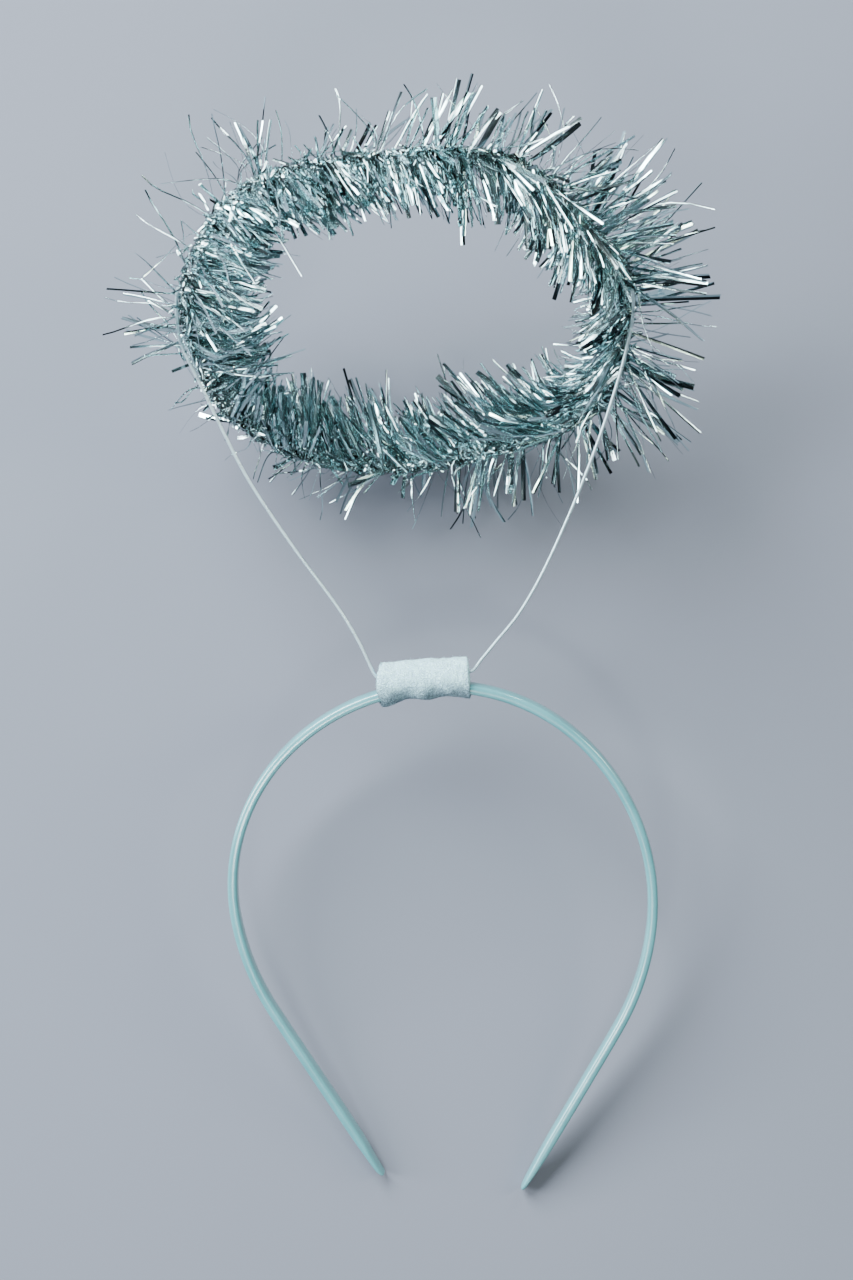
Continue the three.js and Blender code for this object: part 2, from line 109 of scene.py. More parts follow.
# Length of the strips that point to the ring's middle, as rows of angle and share.
INNER_REACH = (
    (0, 0.66), (30, 0.7), (60, 0.8), (90, 0.8), (135, 0.88), (180, 0.98), (225, 1.0), (270, 1.0),
    (310, 0.95), (335, 0.8), (360, 0.66),
)

# Density of the strips that point outwards, as rows of angle and share.
OUTER_SHARE = (
    (0, 0.65), (38, 0.72), (55, 0.5), (72, 0.3), (90, 0.38), (108, 0.16), (130, 0.06), (158, 0.04),
    (172, 0.13), (188, 0.15), (205, 0.03), (238, 0.05), (258, 0.3), (290, 0.34), (312, 0.28),
    (330, 0.34), (345, 0.5), (360, 0.65),
)

# Density of the thin threads that point outwards, as rows of angle and share.
THREAD_SHARE = (
    (0, 0.4), (60, 0.3), (100, 0.35), (130, 0.5), (160, 0.3), (180, 0.15), (210, 0.1), (245, 0.2),
    (300, 0.3), (360, 0.4),
)

# Length of the strips that point outwards, as rows of angle and share.
OUTER_REACH = (
    (0, 1.08), (40, 1.0), (75, 0.78), (100, 0.74), (130, 0.75), (172, 0.98), (190, 0.98), (215, 0.55),
    (240, 0.5), (262, 0.68), (290, 0.74), (315, 0.86), (340, 1.0), (360, 1.08),
)

# The pile grows in tufts. Each turns, leans, thins out and shortens by up to these values.
TUFT_STEP = 2
TUFT_TURN = 28
TUFT_LEAN = 0.34
TUFT_THINNING = 0.85
TUFT_SHORTENING = 0.25

# Form of the felt: the strip's width and length laid flat, how far its front falls away at its
# low, high and side edges, how far its left end is set back at the top and at the bottom, and its
# dents as rows of place along, place up, width and depth.
FELT_ROLL_LOW = 3.4 * MM
FELT_ROLL_HIGH = 1.2 * MM
FELT_ROLL_END = 0.6 * MM
FELT_END_HIGH = 1.5 * MM
FELT_END_LOW = 1.5 * MM
FELT_DENTS = (
    (-0.42, -0.75, 0.24, 1.0 * MM),
    (0.0, -0.85, 0.14, -0.6 * MM),
    (0.26, -0.7, 0.2, 1.1 * MM),
    (0.75, -0.5, 0.2, 0.5 * MM),
)


# Reading the frame

def smooth_step(rows, at):
    """Smooth value from rows of (place, value) in order of place."""
    for (from_at, low), (to_at, high) in zip(rows, rows[1:]):
        if at <= to_at:
            share = (at - from_at) / (to_at - from_at)
            return low + (high - low) * share * share * (3 - 2 * share)
    return rows[-1][1]


def ring_reach(angle):
    """Smooth closed value round the ring, through the rows of RING_FORM."""
    count = len(RING_FORM)
    at = angle % 360
    index = next((i for i, row in enumerate(RING_FORM) if row[0] > at), count)

    def place(i):
        return RING_FORM[i % count][0] + 360 * (i // count)

    share = (at - place(index - 1)) / (place(index) - place(index - 1))
    a, b, c, d = (RING_FORM[i % count][1] for i in range(index - 2, index + 2))
    bend = (2 * a - 5 * b + 4 * c - d) * share**2 + (3 * b - a - 3 * c + d) * share**3
    return (2 * b + (c - a) * share + bend) / 2


def flat_ring_point(angle, outward=0.0):
    """Point of the ring's core, in the band's own plane."""
    lean = math.radians(RING_LEAN)
    turn = math.radians(angle)
    radius = RING_RADIUS * ring_reach(angle) + outward
    rise = Vector((0, math.cos(lean), math.sin(lean)))
    return RING_MIDDLE + Vector((radius * math.cos(turn), 0, 0)) + rise * radius * math.sin(turn)


def tail_end(angle, turn):
    """End of the wire on the core's skin, turned from its outer side to its front."""
    lean = math.radians(RING_LEAN)
    around = math.radians(turn)
    front = Vector((0, -math.sin(lean), math.cos(lean)))
    foot = flat_ring_point(angle, CORE_RADIUS * math.cos(around))
    return foot + front * CORE_RADIUS * math.sin(around)


def end_face(bm, corners, toward, reach):
    """Vertices, in order, of the flat end of a lofted solid that lies furthest toward a direction."""
    faces = sorted(bm.faces, key=lambda face: -face.calc_center_median().dot(toward))
    for start in faces:
        group = {start}
        waiting = [start]
        while waiting and len(group) <= corners:
            face = waiting.pop()
            for edge in face.edges:
                for other in edge.link_faces:
                    if other not in group and other.normal.dot(start.normal) > 0.9999:
                        group.add(other)
                        waiting.append(other)
        verts = {vert for face in group for vert in face.verts}
        span = max((vert.co - start.verts[0].co).length for vert in verts)
        if len(verts) == corners and span < reach:
            rim = [e for face in group for e in face.edges if len(set(e.link_faces) & group) == 1]
            ring = [rim[0].verts[0], rim[0].verts[1]]
            while len(ring) < corners:
                after = {e.other_vert(ring[-1]) for e in rim if ring[-1] in e.verts} - set(ring)
                ring.append(after.pop())
            return ring
    raise ValueError("the solid has no flat end with %d corners" % corners)


def lofted_rings(node, corners, toward, reach):
    """Sections of a lofted solid from one end to the other, each a list of points in order."""
    bm = bmesh.new()
    bm.from_mesh(frame["nodes"][node].data)
    bmesh.ops.remove_doubles(bm, verts=bm.verts, dist=1e-6)
    bm.normal_update()
    ring = end_face(bm, corners, toward, reach)
    seen = set(ring)
    rings = [[vert.co.copy() for vert in ring]]
    while True:
        ahead = [{e.other_vert(vert) for e in vert.link_edges} - seen for vert in ring]
        if not ahead[0]:
            break
        choices = []
        for step in (-1, 1):
            pairs = [ahead[i] & ahead[(i + step) % corners] for i in range(corners)]
            following = [pair.pop() for pair in pairs]
            run = sum((a.co - b.co).length for a, b in zip(ring, following))
            choices.append((run, step, following))
        ring = min(choices, key=lambda choice: choice[:2])[2]
        seen.update(ring)
        rings.append([vert.co.copy() for vert in ring])
    bm.free()
    return rings


def middle_of(points):
    """Middle of some points."""
    return sum(points, Vector()) / len(points)


def wire_line():
    """Middle line of the support wire, from its left end to its right end."""
    rings = lofted_rings("support_wire", 6, Vector((-1, 0.6, 0)), 1.5 * MM)
    line = [middle_of(ring) for ring in rings]
    return line if line[0].x < line[-1].x else line[::-1]


def flat_side_normal():
    """Normal of the band's flat front side, which most of its upper faces share."""
    totals = {}
    for face in frame["nodes"]["headband"].data.polygons:
        if face.normal.z > 0.8:
            key = tuple(round(value, 3) for value in face.normal)
            totals[key] = totals.get(key, Vector()) + face.normal * face.area
    return max(totals.values(), key=lambda total: total.length).normalized()


def lay_matrix():
    """Turn and shift that lay the band's own plane where the frame has it.

    The turn is the band's, and the ring is set on the wire's two ends.
    """
    turn = UP.rotation_difference(flat_side_normal()).to_matrix()
    line = wire_line()
    seats = (
        turn @ tail_end(LEFT_TAIL_ANGLE, LEFT_TAIL_TURN),
        turn @ tail_end(RIGHT_TAIL_ANGLE, RIGHT_TAIL_TURN),
    )
    shifts = [line[0] - seats[0], line[-1] - seats[1]]
    if (shifts[0] - shifts[1]).length > 1.5 * MM:
        raise ValueError("the ring's sizes here don't fit the wire's ends in the frame")
    return Matrix.Translation(middle_of(shifts)) @ turn.to_4x4()


LAY = lay_matrix()


# Making meshes

def link(name, mesh):
    """New object in the scene."""
    piece = bpy.data.objects.new(name, mesh)
    bpy.context.scene.collection.objects.link(piece)
    return piece


def skin_mesh(name, rings):
    """Closed mesh of quads through rings of points, with a UV map of metres along and around."""
    size = len(rings[0])
    points = [point for ring in rings for point in ring]
    faces = []
    corner_uvs = []
    along = [0.0]
    for before, after in zip(rings, rings[1:]):
        along.append(along[-1] + (middle_of(after) - middle_of(before)).length)
    around = [0.0]
    for i in range(size):
        around.append(around[-1] + (rings[0][(i + 1) % size] - rings[0][i]).length)
    for r in range(len(rings) - 1):
        for i in range(size):
            j = (i + 1) % size
            a, b = r * size + i, r * size + j
            faces.append((a, b, b + size, a + size))
            low, high = along[r], along[r + 1]
            before, after = around[i], around[i + 1]
            corner_uvs += [(low, before), (low, after), (high, after), (high, before)]
    faces.append(tuple(range(size - 1, -1, -1)))
    corner_uvs += [(0.0, around[i]) for i in range(size - 1, -1, -1)]
    last = (len(rings) - 1) * size
    faces.append(tuple(range(last, last + size)))
    corner_uvs += [(along[-1], around[i]) for i in range(size)]
    mesh = bpy.data.meshes.new(name)
    mesh.from_pydata(points, [], faces)
    layer = mesh.uv_layers.new(name="UVMap")
    for corner, uv in zip(layer.data, corner_uvs):
        corner.uv = uv
    bm = bmesh.new()
    bm.from_mesh(mesh)
    if bm.calc_volume(signed=True) < 0:
        bmesh.ops.reverse_faces(bm, faces=bm.faces)
    bm.to_mesh(mesh)
    bm.free()
    return mesh


def resample(rings, steps):
    """More rings between those given, on smooth lines through their points."""
    made = []
    last = len(rings) - 1
    for r in range(last):
        rows = [rings[max(r - 1, 0)], rings[r], rings[r + 1], rings[min(r + 2, last)]]
        for step in range(steps):
            t = step / steps
            made.append([catmull(a, b, c, d, t) for a, b, c, d in zip(*rows)])
    made.append([point.copy() for point in rings[last]])
    return made


def catmull(a, b, c, d, t):
    """Point at share t on the smooth curve from b to c."""
    bend = (2 * a - 5 * b + 4 * c - d) * t * t
    return (2 * b + (c - a) * t + bend + (3 * b - a - 3 * c + d) * t**3) / 2


def settle(piece):
    """Turns what the piece's modifiers make into its plain mesh."""
    graph = bpy.context.evaluated_depsgraph_get()
    mesh = bpy.data.meshes.new_from_object(
        piece.evaluated_get(graph), preserve_all_data_layers=True, depsgraph=graph
    )
    piece.modifiers.clear()
    piece.data = mesh
    return piece


def smooth_shade(piece):
    """Shades all the faces of a piece smooth."""
    piece.data.shade_smooth()


def subdivide(piece, levels):
    """Adds a surface subdivision."""
    surface = piece.modifiers.new("surface", "SUBSURF")
    surface.levels = levels
    surface.render_levels = levels


# Node trees

class NodeSheet:
    """Short calls that add and join the nodes of one tree."""

    def __init__(self, tree):
        self.tree = tree

    def add(self, kind, settings=None, inputs=None):
        """New node. An input is a value or a socket to join."""
        node = self.tree.nodes.new(kind)
        for key, value in (settings or {}).items():
            setattr(node, key, value)
        for key, value in (inputs or {}).items():
            if isinstance(value, bpy.types.NodeSocket):
                self.tree.links.new(value, node.inputs[key])
            else:
                node.inputs[key].default_value = value
        return node

    def math(self, operation, *values):
        """Output of a math node."""
        return self.add("ShaderNodeMath", {"operation": operation}, dict(enumerate(values))).outputs[0]

    def vector(self, operation, *values):
        """Output of a vector math node."""
        node = self.add("ShaderNodeVectorMath", {"operation": operation}, dict(enumerate(values)))
        return node.outputs[0]

    def draw(self, kind, low, high, seed):
        """Random value between two limits."""
        node = self.add("FunctionNodeRandomValue", {"data_type": kind}, {"Seed": seed})
        first, output = {"FLOAT": (2, 1), "FLOAT_VECTOR": (0, 0), "INT": (4, 2)}[kind]
        node.inputs[first].default_value = low
        node.inputs[first + 1].default_value = high
        return node.outputs[output]

    def shapes(self, group):
        """The shapes of a collection, to be picked from one by one."""
        inputs = {"Collection": group, "Separate Children": True, "Reset Children": True}
        return self.add("GeometryNodeCollectionInfo", None, inputs).outputs[0]

    def join(self, socket, node, key):
        """Joins a socket to a node's input."""
        self.tree.links.new(socket, node.inputs[key])


def geometry_tree(name, inputs):
    """Geometry node tree with a geometry in and out and named inputs of (name, kind, value)."""
    tree = bpy.data.node_groups.new(name, "GeometryNodeTree")
    face = tree.interface
    face.new_socket("Geometry", in_out="OUTPUT", socket_type="NodeSocketGeometry")
    face.new_socket("Geometry", in_out="INPUT", socket_type="NodeSocketGeometry")
    for label, kind, value in inputs:
        socket = face.new_socket(label, in_out="INPUT", socket_type="NodeSocket" + kind)
        if value is not None:
            socket.default_value = value
    return tree


def run_tree(piece, tree, values):
    """Runs a tree on a piece with values by input name, and keeps what it makes as a plain mesh."""
    modifier = piece.modifiers.new(tree.name, "NODES")
    modifier.node_group = tree
    sockets = {s.name: s.identifier for s in tree.interface.items_tree if s.in_out == "INPUT"}
    for name, value in values.items():
        modifier[sockets[name]] = value
    return settle(piece)


def strip_tree():
    """Strips set on points along a path, turned as the path's attributes and the inputs say."""
    tree = geometry_tree("strips along a core", (
        ("Blades", "Collection", None),
        ("Count", "Int", 100),
        ("Length", "Float", 0.02),
        ("Length Spread", "Float", 0.2),
        ("Comb", "Float", 1.0),
        ("Turn", "Float", 0.0),
        ("Turn Spread", "Float", 1.0),
        ("Lean", "Float", 0.4),
        ("Lean Spread", "Float", 0.2),
        ("Root Scatter", "Float", 0.001),
        ("Share Name", "String", "share"),
        ("Reach Name", "String", "reach"),
        ("Low Corner", "Vector", None),
        ("High Corner", "Vector", None),
        ("Keep Clear", "Object", None),
        ("Clearance", "Float", 0.001),
        ("Seed", "Int", 1),
        ("Material", "Material", None),
    ))
    sheet = NodeSheet(tree)
    given = sheet.add("NodeGroupInput").outputs

    sums = sheet.math
    vectors = sheet.vector

    def dice(offset, low=0.0, high=1.0, kind="FLOAT"):
        return sheet.draw(kind, low, high, sums("ADD", given["Seed"], float(offset)))

    def scaled(vector, factor):
        node = sheet.add("ShaderNodeVectorMath", {"operation": "SCALE"}, {0: vector, "Scale": factor})
        return node.outputs[0]

    def stored(name, kind="FLOAT"):
        node = sheet.add("GeometryNodeInputNamedAttribute", {"data_type": kind}, {"Name": name})
        return node.outputs["Attribute"]

    curve = sheet.add("GeometryNodeMeshToCurve", None, {"Mesh": given["Geometry"]})
    points = sheet.add(
        "GeometryNodeCurveToPoints", {"mode": "COUNT"},
        {"Curve": curve.outputs[0], "Count": given["Count"]},
    )
    centred = sums("SUBTRACT", sums("ADD", dice(1), dice(2)), 1.0)
    combed = sums("ADD", sums("MULTIPLY", stored("comb"), given["Comb"]), stored("tuft_turn"))
    spread = sums("MULTIPLY", centred, given["Turn Spread"])
    turn = sums("ADD", sums("ADD", combed, given["Turn"]), spread)
    inward = scaled(stored("inward", "FLOAT_VECTOR"), sums("COSINE", turn))
    flank = scaled(stored("flank", "FLOAT_VECTOR"), sums("SINE", turn))
    lean = sums("ADD", given["Lean"], sums("MULTIPLY", dice(3, -1.0, 1.0), given["Lean Spread"]))
    travel = scaled(stored("travel", "FLOAT_VECTOR"), sums("ADD", lean, stored("tuft_lean")))
    free = vectors("NORMALIZE", vectors("ADD", vectors("ADD", inward, flank), travel))
    vary = sums("ADD", 1.0, sums("MULTIPLY", dice(5, -1.0, 0.6), given["Length Spread"]))
    wanted = sums("MULTIPLY", sums("MULTIPLY", given["Length"], vary), stored(given["Reach Name"]))
    scatter = scaled(dice(7, (-1, -1, -1), (1, 1, 1), "FLOAT_VECTOR"), given["Root Scatter"])
    moved = sheet.add(
        "GeometryNodeSetPosition", None, {"Geometry": points.outputs["Points"], "Offset": scatter}
    )
    root = sheet.add("GeometryNodeInputPosition").outputs[0]
    tip = vectors("ADD", root, scaled(free, wanted))
    margin = sheet.add("ShaderNodeCombineXYZ", None, {k: dice(11 + k, 0.0, 0.007) for k in range(2)})
    lowest = vectors("ADD", given["Low Corner"], margin.outputs[0])
    highest = vectors("SUBTRACT", given["High Corner"], margin.outputs[0])
    inside = vectors("MAXIMUM", vectors("MINIMUM", tip, highest), lowest)
    away = vectors("SUBTRACT", inside, root)
    long = sheet.add("ShaderNodeVectorMath", {"operation": "LENGTH"}, {0: away}).outputs["Value"]
    aim = sheet.add("FunctionNodeAlignRotationToVector", {"axis": "Z"}, {"Vector": away})
    spin = sheet.add(
        "FunctionNodeAxisAngleToRotation", None, {"Axis": (0, 0, 1), "Angle": dice(4, 0.0, math.tau)}
    )
    pose = sheet.add(
        "FunctionNodeRotateRotation", {"rotation_space": "LOCAL"},
        {"Rotation": aim.outputs[0], "Rotate By": spin.outputs[0]},
    )
    size = sheet.add("ShaderNodeCombineXYZ", None, {"X": dice(6, 0.7, 1.15), "Y": 1.0, "Z": long})
    kept = sheet.add(
        "FunctionNodeCompare", {"data_type": "FLOAT", "operation": "LESS_THAN"},
        {0: dice(8), 1: stored(given["Share Name"])},
    ).outputs[0]
    fence = sheet.add("GeometryNodeObjectInfo", None, {"Object": given["Keep Clear"]})
    for part in (0.3, 0.5, 0.75, 1.0):
        sample = vectors("ADD", root, scaled(away, part))
        near = sheet.add(
            "GeometryNodeProximity", {"target_element": "FACES"},
            {"Geometry": fence.outputs["Geometry"], "Sample Position": sample},
        )
        clear = sheet.add(
            "FunctionNodeCompare", {"data_type": "FLOAT", "operation": "GREATER_THAN"},
            {0: near.outputs["Distance"], 1: given["Clearance"]},
        )
        kept = sheet.add(
            "FunctionNodeBooleanMath", {"operation": "AND"}, {0: kept, 1: clear.outputs[0]}
        ).outputs[0]
    placed = sheet.add("GeometryNodeInstanceOnPoints", None, {
        "Points": moved.outputs[0],
        "Selection": kept,
        "Instance": sheet.shapes(given["Blades"]),
        "Pick Instance": True,
        "Instance Index": dice(9, 0, 1000, "INT"),
        "Rotation": pose.outputs[0],
        "Scale": size.outputs[0],
    })
    toned = sheet.add(
        "GeometryNodeStoreNamedAttribute", {"data_type": "FLOAT", "domain": "INSTANCE"},
        {"Geometry": placed.outputs[0], "Name": "tone", "Value": dice(10)},
    )
    whole = sheet.add("GeometryNodeRealizeInstances", None, {"Geometry": toned.outputs[0]})
    place = sheet.add("GeometryNodeInputPosition").outputs[0]
    within = vectors("MAXIMUM", vectors("MINIMUM", place, given["High Corner"]), given["Low Corner"])
    pressed = sheet.add(
        "GeometryNodeSetPosition", None, {"Geometry": whole.outputs[0], "Position": within}
    )
    finished = sheet.add(
        "GeometryNodeSetMaterial", None, {"Geometry": pressed.outputs[0], "Material": given["Material"]}
    )
    sheet.add("NodeGroupOutput", None, {"Geometry": finished.outputs[0]})
    return tree


def shader_group(name, inputs, outputs):
    """Shader node group with named inputs and outputs of (name, kind, value)."""
    group = bpy.data.node_groups.new(name, "ShaderNodeTree")
    for label, kind, value in inputs:
        socket = group.interface.new_socket(label, in_out="INPUT", socket_type="NodeSocket" + kind)
        if value is not None:
            socket.default_value = value
    for label, kind in outputs:
        group.interface.new_socket(label, in_out="OUTPUT", socket_type="NodeSocket" + kind)
    return group


def mottle_group():
    """Soft blotches: a mask from 0 to 1 that changes over the surface."""
    group = shader_group(
        "mottle",
        (
            ("Vector", "Vector", None), ("Scale", "Float", 100.0),
            ("Low", "Float", 0.35), ("High", "Float", 0.65),
        ),
        (("Mask", "Float"),),
    )
    sheet = NodeSheet(group)
    given = sheet.add("NodeGroupInput").outputs
    cloud = sheet.add(
        "ShaderNodeTexNoise", None,
        {"Vector": given["Vector"], "Scale": given["Scale"], "Detail": 4.0, "Roughness": 0.6},
    )
    band = sheet.add(
        "ShaderNodeMapRange", None,
        {"Value": cloud.outputs[0], "From Min": given["Low"], "From Max": given["High"]},
    )
    sheet.add("NodeGroupOutput", None, {"Mask": band.outputs[0]})
    return group


def streak_group():
    """Fine lines drawn along a surface: a height that changes fast across and slowly along."""
    group = shader_group(
        "drawn lines",
        (
            ("UV", "Vector", None), ("Across", "Float", 1.0),
            ("Along", "Float", 1.0), ("Shift", "Float", 0.0),
        ),
        (("Height", "Float"),),
    )
    sheet = NodeSheet(group)
    given = sheet.add("NodeGroupInput").outputs
    parts = sheet.add("ShaderNodeSeparateXYZ", None, {0: given["UV"]}).outputs
    across = sheet.math("MULTIPLY", parts["Y"], given["Across"])
    along = sheet.math("MULTIPLY", parts["X"], given["Along"])
    place = sheet.add("ShaderNodeCombineXYZ", None, {"X": along, "Y": across, "Z": given["Shift"]})
    lines = sheet.add(
        "ShaderNodeTexNoise", None,
        {"Vector": place.outputs[0], "Scale": 1.0, "Detail": 2.0, "Roughness": 0.5},
    )
    sheet.add("NodeGroupOutput", None, {"Height": lines.outputs[0]})
    return group


def low_side_group():
    """Mask that rises from 0 to 1 from one height to a lower one, with a ragged edge."""
    group = shader_group(
        "low side",
        (
            ("Vector", "Vector", None), ("Up", "Vector", None), ("Start", "Float", 1.0),
            ("End", "Float", 0.0), ("Ragged", "Float", 0.1), ("Scale", "Float", 100.0),
        ),
        (("Mask", "Float"),),
    )
    sheet = NodeSheet(group)
    given = sheet.add("NodeGroupInput").outputs
    height = sheet.add(
        "ShaderNodeVectorMath", {"operation": "DOT_PRODUCT"}, {0: given["Vector"], 1: given["Up"]}
    )
    cloud = sheet.add(
        "ShaderNodeTexNoise", None, {"Vector": given["Vector"], "Scale": given["Scale"], "Detail": 3.0}
    )
    centred = sheet.math("SUBTRACT", cloud.outputs[0], 0.5)
    shift = sheet.math("MULTIPLY", centred, given["Ragged"])
    moved = sheet.math("ADD", height.outputs["Value"], shift)
    band = sheet.add(
        "ShaderNodeMapRange", {"interpolation_type": "SMOOTHSTEP"},
        {"Value": moved, "From Min": given["Start"], "From Max": given["End"]},
    )
    sheet.add("NodeGroupOutput", None, {"Mask": band.outputs[0]})
    return group


class Finish:
    """One material: its node sheet, its shader and the calls that feed the shader."""

    def __init__(self, name, **values):
        self.material = bpy.data.materials.new(name)
        self.material.use_nodes = True
        self.sheet = NodeSheet(self.material.node_tree)
        self.shader = self.material.node_tree.nodes["Principled BSDF"]
        for key, value in values.items():
            self.shader.inputs[key.replace("_", " ")].default_value = value

    def coords(self, kind="Object"):
        """Texture coordinates."""
        return self.sheet.add("ShaderNodeTexCoord").outputs[kind]

    def group(self, tree, inputs, output):
        """Output of a shared node group."""
        return self.sheet.add("ShaderNodeGroup", {"node_tree": tree}, inputs).outputs[output]

    def blend(self, share, first, second):
        """Colour between two colours."""
        node = self.sheet.add("ShaderNodeMix", {"data_type": "RGBA"}, {0: share, 6: first, 7: second})
        return node.outputs[2]

    def between(self, share, low, high):
        """Value between two values."""
        node = self.sheet.add(
            "ShaderNodeMapRange", None, {"Value": share, "To Min": low, "To Max": high}
        )
        return node.outputs[0]

    def feed(self, socket, key):
        """Joins a socket to the shader."""
        self.sheet.join(socket, self.shader, key)

    def bump(self, height, distance, strength=1.0, normal=None):
        """Normal from a height, on top of another normal."""
        inputs = {"Height": height, "Distance": distance, "Strength": strength}
        if normal is not None:
            inputs["Normal"] = normal
        return self.sheet.add("ShaderNodeBump", None, inputs).outputs[0]


def shared(name, maker):
    """The node group of that name, made the first time it is asked for."""
    return bpy.data.node_groups.get(name) or maker()


def shade(colour, factor):
    """A colour made darker or lighter, with its alpha."""
    return (*(min(1.0, value * factor) for value in colour[:3]), 1.0)


# Sizes and colours that a user would change

class HaloBand(bpy.types.PropertyGroup):
    """Looks of the plastic band."""

    colour: FloatVectorProperty(
        name="Colour", description="Colour of the plastic", subtype="COLOR", size=3,
        min=0, max=1, default=(0.07, 0.235, 0.265),
    )
    roughness: FloatProperty(
        name="Roughness", description="How matt the plastic is", subtype="FACTOR",
        min=0, max=1, default=0.34,
    )
    smoothing: IntProperty(
        name="Smoothing", description="Steps of surface subdivision", min=1, max=4, default=3
    )


class HaloFelt(bpy.types.PropertyGroup):
    """Looks of the wound felt."""

    colour: FloatVectorProperty(
        name="Colour", description="Colour of the felt", subtype="COLOR", size=3,
        min=0, max=1, default=(0.44, 0.77, 0.98),
    )
    wrinkle: FloatProperty(
        name="Wrinkle", description="Height of the felt's dents and lumps", subtype="DISTANCE",
        unit="LENGTH", min=0, default=0.4 * MM,
    )
    softness: IntProperty(
        name="Softness", description="Rounds of smoothing of the wound section", min=0, default=3
    )
    fibres: IntProperty(
        name="Fibres", description="Number of loose fibres on the felt", min=0, default=5000
    )
    fibre_length: FloatProperty(
        name="Fibre Length", description="Length of a loose fibre", subtype="DISTANCE",
        unit="LENGTH", min=0, default=0.9 * MM,
    )


class HaloWire(bpy.types.PropertyGroup):
    """Looks of the support wire."""

    colour: FloatVectorProperty(
        name="Colour", description="Colour of the metal", subtype="COLOR", size=3,
        min=0, max=1, default=(0.38, 0.52, 0.58),
    )
    diameter: FloatProperty(
        name="Diameter", description="Thickness of the wire", subtype="DISTANCE", unit="LENGTH",
        min=0.2 * MM, default=1.0 * MM,
    )
    roughness: FloatProperty(
        name="Roughness", description="How matt the metal is", subtype="FACTOR",
        min=0, max=1, default=0.32,
    )


class HaloTinsel(bpy.types.PropertyGroup):
    """Sizes and looks of the tinsel garland."""

    colour: FloatVectorProperty(
        name="Colour", description="Colour of the foil", subtype="COLOR", size=3,
        min=0, max=1, default=(0.53, 0.71, 0.73),
    )
    strip_length: FloatProperty(
        name="Strip Length", description="Length of a strip from the core", subtype="DISTANCE",
        unit="LENGTH", min=0.005, default=24 * MM,
    )
    strip_width: FloatProperty(
        name="Strip Width", description="Width of a strip", subtype="DISTANCE", unit="LENGTH",
        min=0.2 * MM, default=2.1 * MM,
    )
    inner_strips: IntProperty(
        name="Inner Strips", description="Strips that point inwards", min=1, default=2500
    )
    outer_strips: IntProperty(
        name="Outer Strips", description="Strips that point outwards", min=1, default=1300
    )
    hairs: IntProperty(
        name="Hairs", description="Thin split threads that point inwards", min=1, default=600
    )
    threads: IntProperty(
        name="Threads", description="Thin split threads that point outwards", min=1, default=350
    )
    crumples: IntProperty(
        name="Crumples", description="Short bent strips at the core", min=1, default=1500
    )
    lean: FloatProperty(
        name="Lean", description="How far the strips lean along the ring", subtype="ANGLE",
        unit="ROTATION", default=math.radians(24),
    )
    seed: IntProperty(name="Seed", description="Start of the random draws", min=0, default=7)


class HaloStage(bpy.types.PropertyGroup):
    """Floor, light and camera."""

    floor_colour: FloatVectorProperty(
        name="Floor Colour", description="Colour of the floor", subtype="COLOR", size=3,
        min=0, max=1, default=(0.115, 0.132, 0.168),
    )
    key_power: FloatProperty(
        name="Key Power", description="Power of the key light", subtype="POWER", unit="POWER",
        min=0, default=110,
    )
    camera_distance: FloatProperty(
        name="Camera Distance", description="From the lens to the band's plane", subtype="DISTANCE",
        unit="LENGTH", min=0.1, default=1.056,
    )
    camera_tilt: FloatProperty(
        name="Camera Tilt", description="Angle of the view off the band plane's normal",
        subtype="ANGLE", unit="ROTATION", default=math.radians(13.8),
    )
    lens: FloatProperty(
        name="Lens", description="Focal length on a 36 mm long side", unit="CAMERA",
        min=10, default=100.3,
    )


# Materials

def band_finish(look):
    """Moulded plastic: faint clouding, fine grain and a soft gloss."""
    finish = Finish("band plastic", IOR=1.49, Coat_Weight=1.0, Coat_Roughness=0.14)
    place = finish.coords()
    mottle = shared("mottle", mottle_group)
    cloud = finish.group(mottle, {"Vector": place, "Scale": 90.0}, "Mask")
    speck = finish.group(mottle, {"Vector": place, "Scale": 900.0, "Low": 0.55, "High": 0.8}, "Mask")
    tint = finish.blend(cloud, shade(look.colour, 0.93), shade(look.colour, 1.06))
    finish.feed(finish.blend(speck, tint, shade(look.colour, 1.2)), "Base Color")
    finish.feed(finish.between(cloud, look.roughness - 0.05, look.roughness + 0.09), "Roughness")
    finish.feed(finish.bump(speck, 0.00004, 0.4), "Normal")
    return finish.material


def felt_finish(look):
    """Pressed fibres: two sizes of matting, a soft sheen and painted shade that darkens the low side."""
    finish = Finish("felt", Roughness=0.95, Sheen_Weight=0.12, Sheen_Roughness=0.5)
    place = finish.coords()
    mottle = shared("mottle", mottle_group)
    coarse = finish.group(mottle, {"Vector": place, "Scale": 420.0}, "Mask")
    fine = finish.group(mottle, {"Vector": place, "Scale": 2000.0, "Low": 0.4, "High": 0.6}, "Mask")
    upward = LAY.to_3x3() @ Vector((-0.09, 1, 0))
    heights = [vert.co.dot(upward) for vert in frame["nodes"]["crown_sleeve"].data.vertices]
    low = min(heights)
    tall = max(heights) - low
    # Painted shade: a mask that darkens the felt's colour toward its low side, where the roll turns away
    # from the light.
    painted_low_shade = finish.group(shared("low side", low_side_group), {
        "Vector": place, "Up": upward, "Start": low + 0.7 * tall, "End": low + 0.14 * tall,
        "Ragged": 0.6 * tall, "Scale": 240.0,
    }, "Mask")
    unshaded_tint = finish.blend(coarse, shade(look.colour, 0.78), shade(look.colour, 1.05))
    bright = finish.blend(fine, unshaded_tint, shade(look.colour, 1.25))
    # Dark colour of the painted shade on the low side.
    dull = finish.blend(fine, shade(look.colour, 0.22), shade(look.colour, 0.5))
    finish.feed(finish.blend(painted_low_shade, bright, dull), "Base Color")
    matted = finish.bump(coarse, 0.0004, 0.9)
    finish.feed(finish.bump(fine, 0.0003, 1.0, matted), "Normal")
    return finish.material


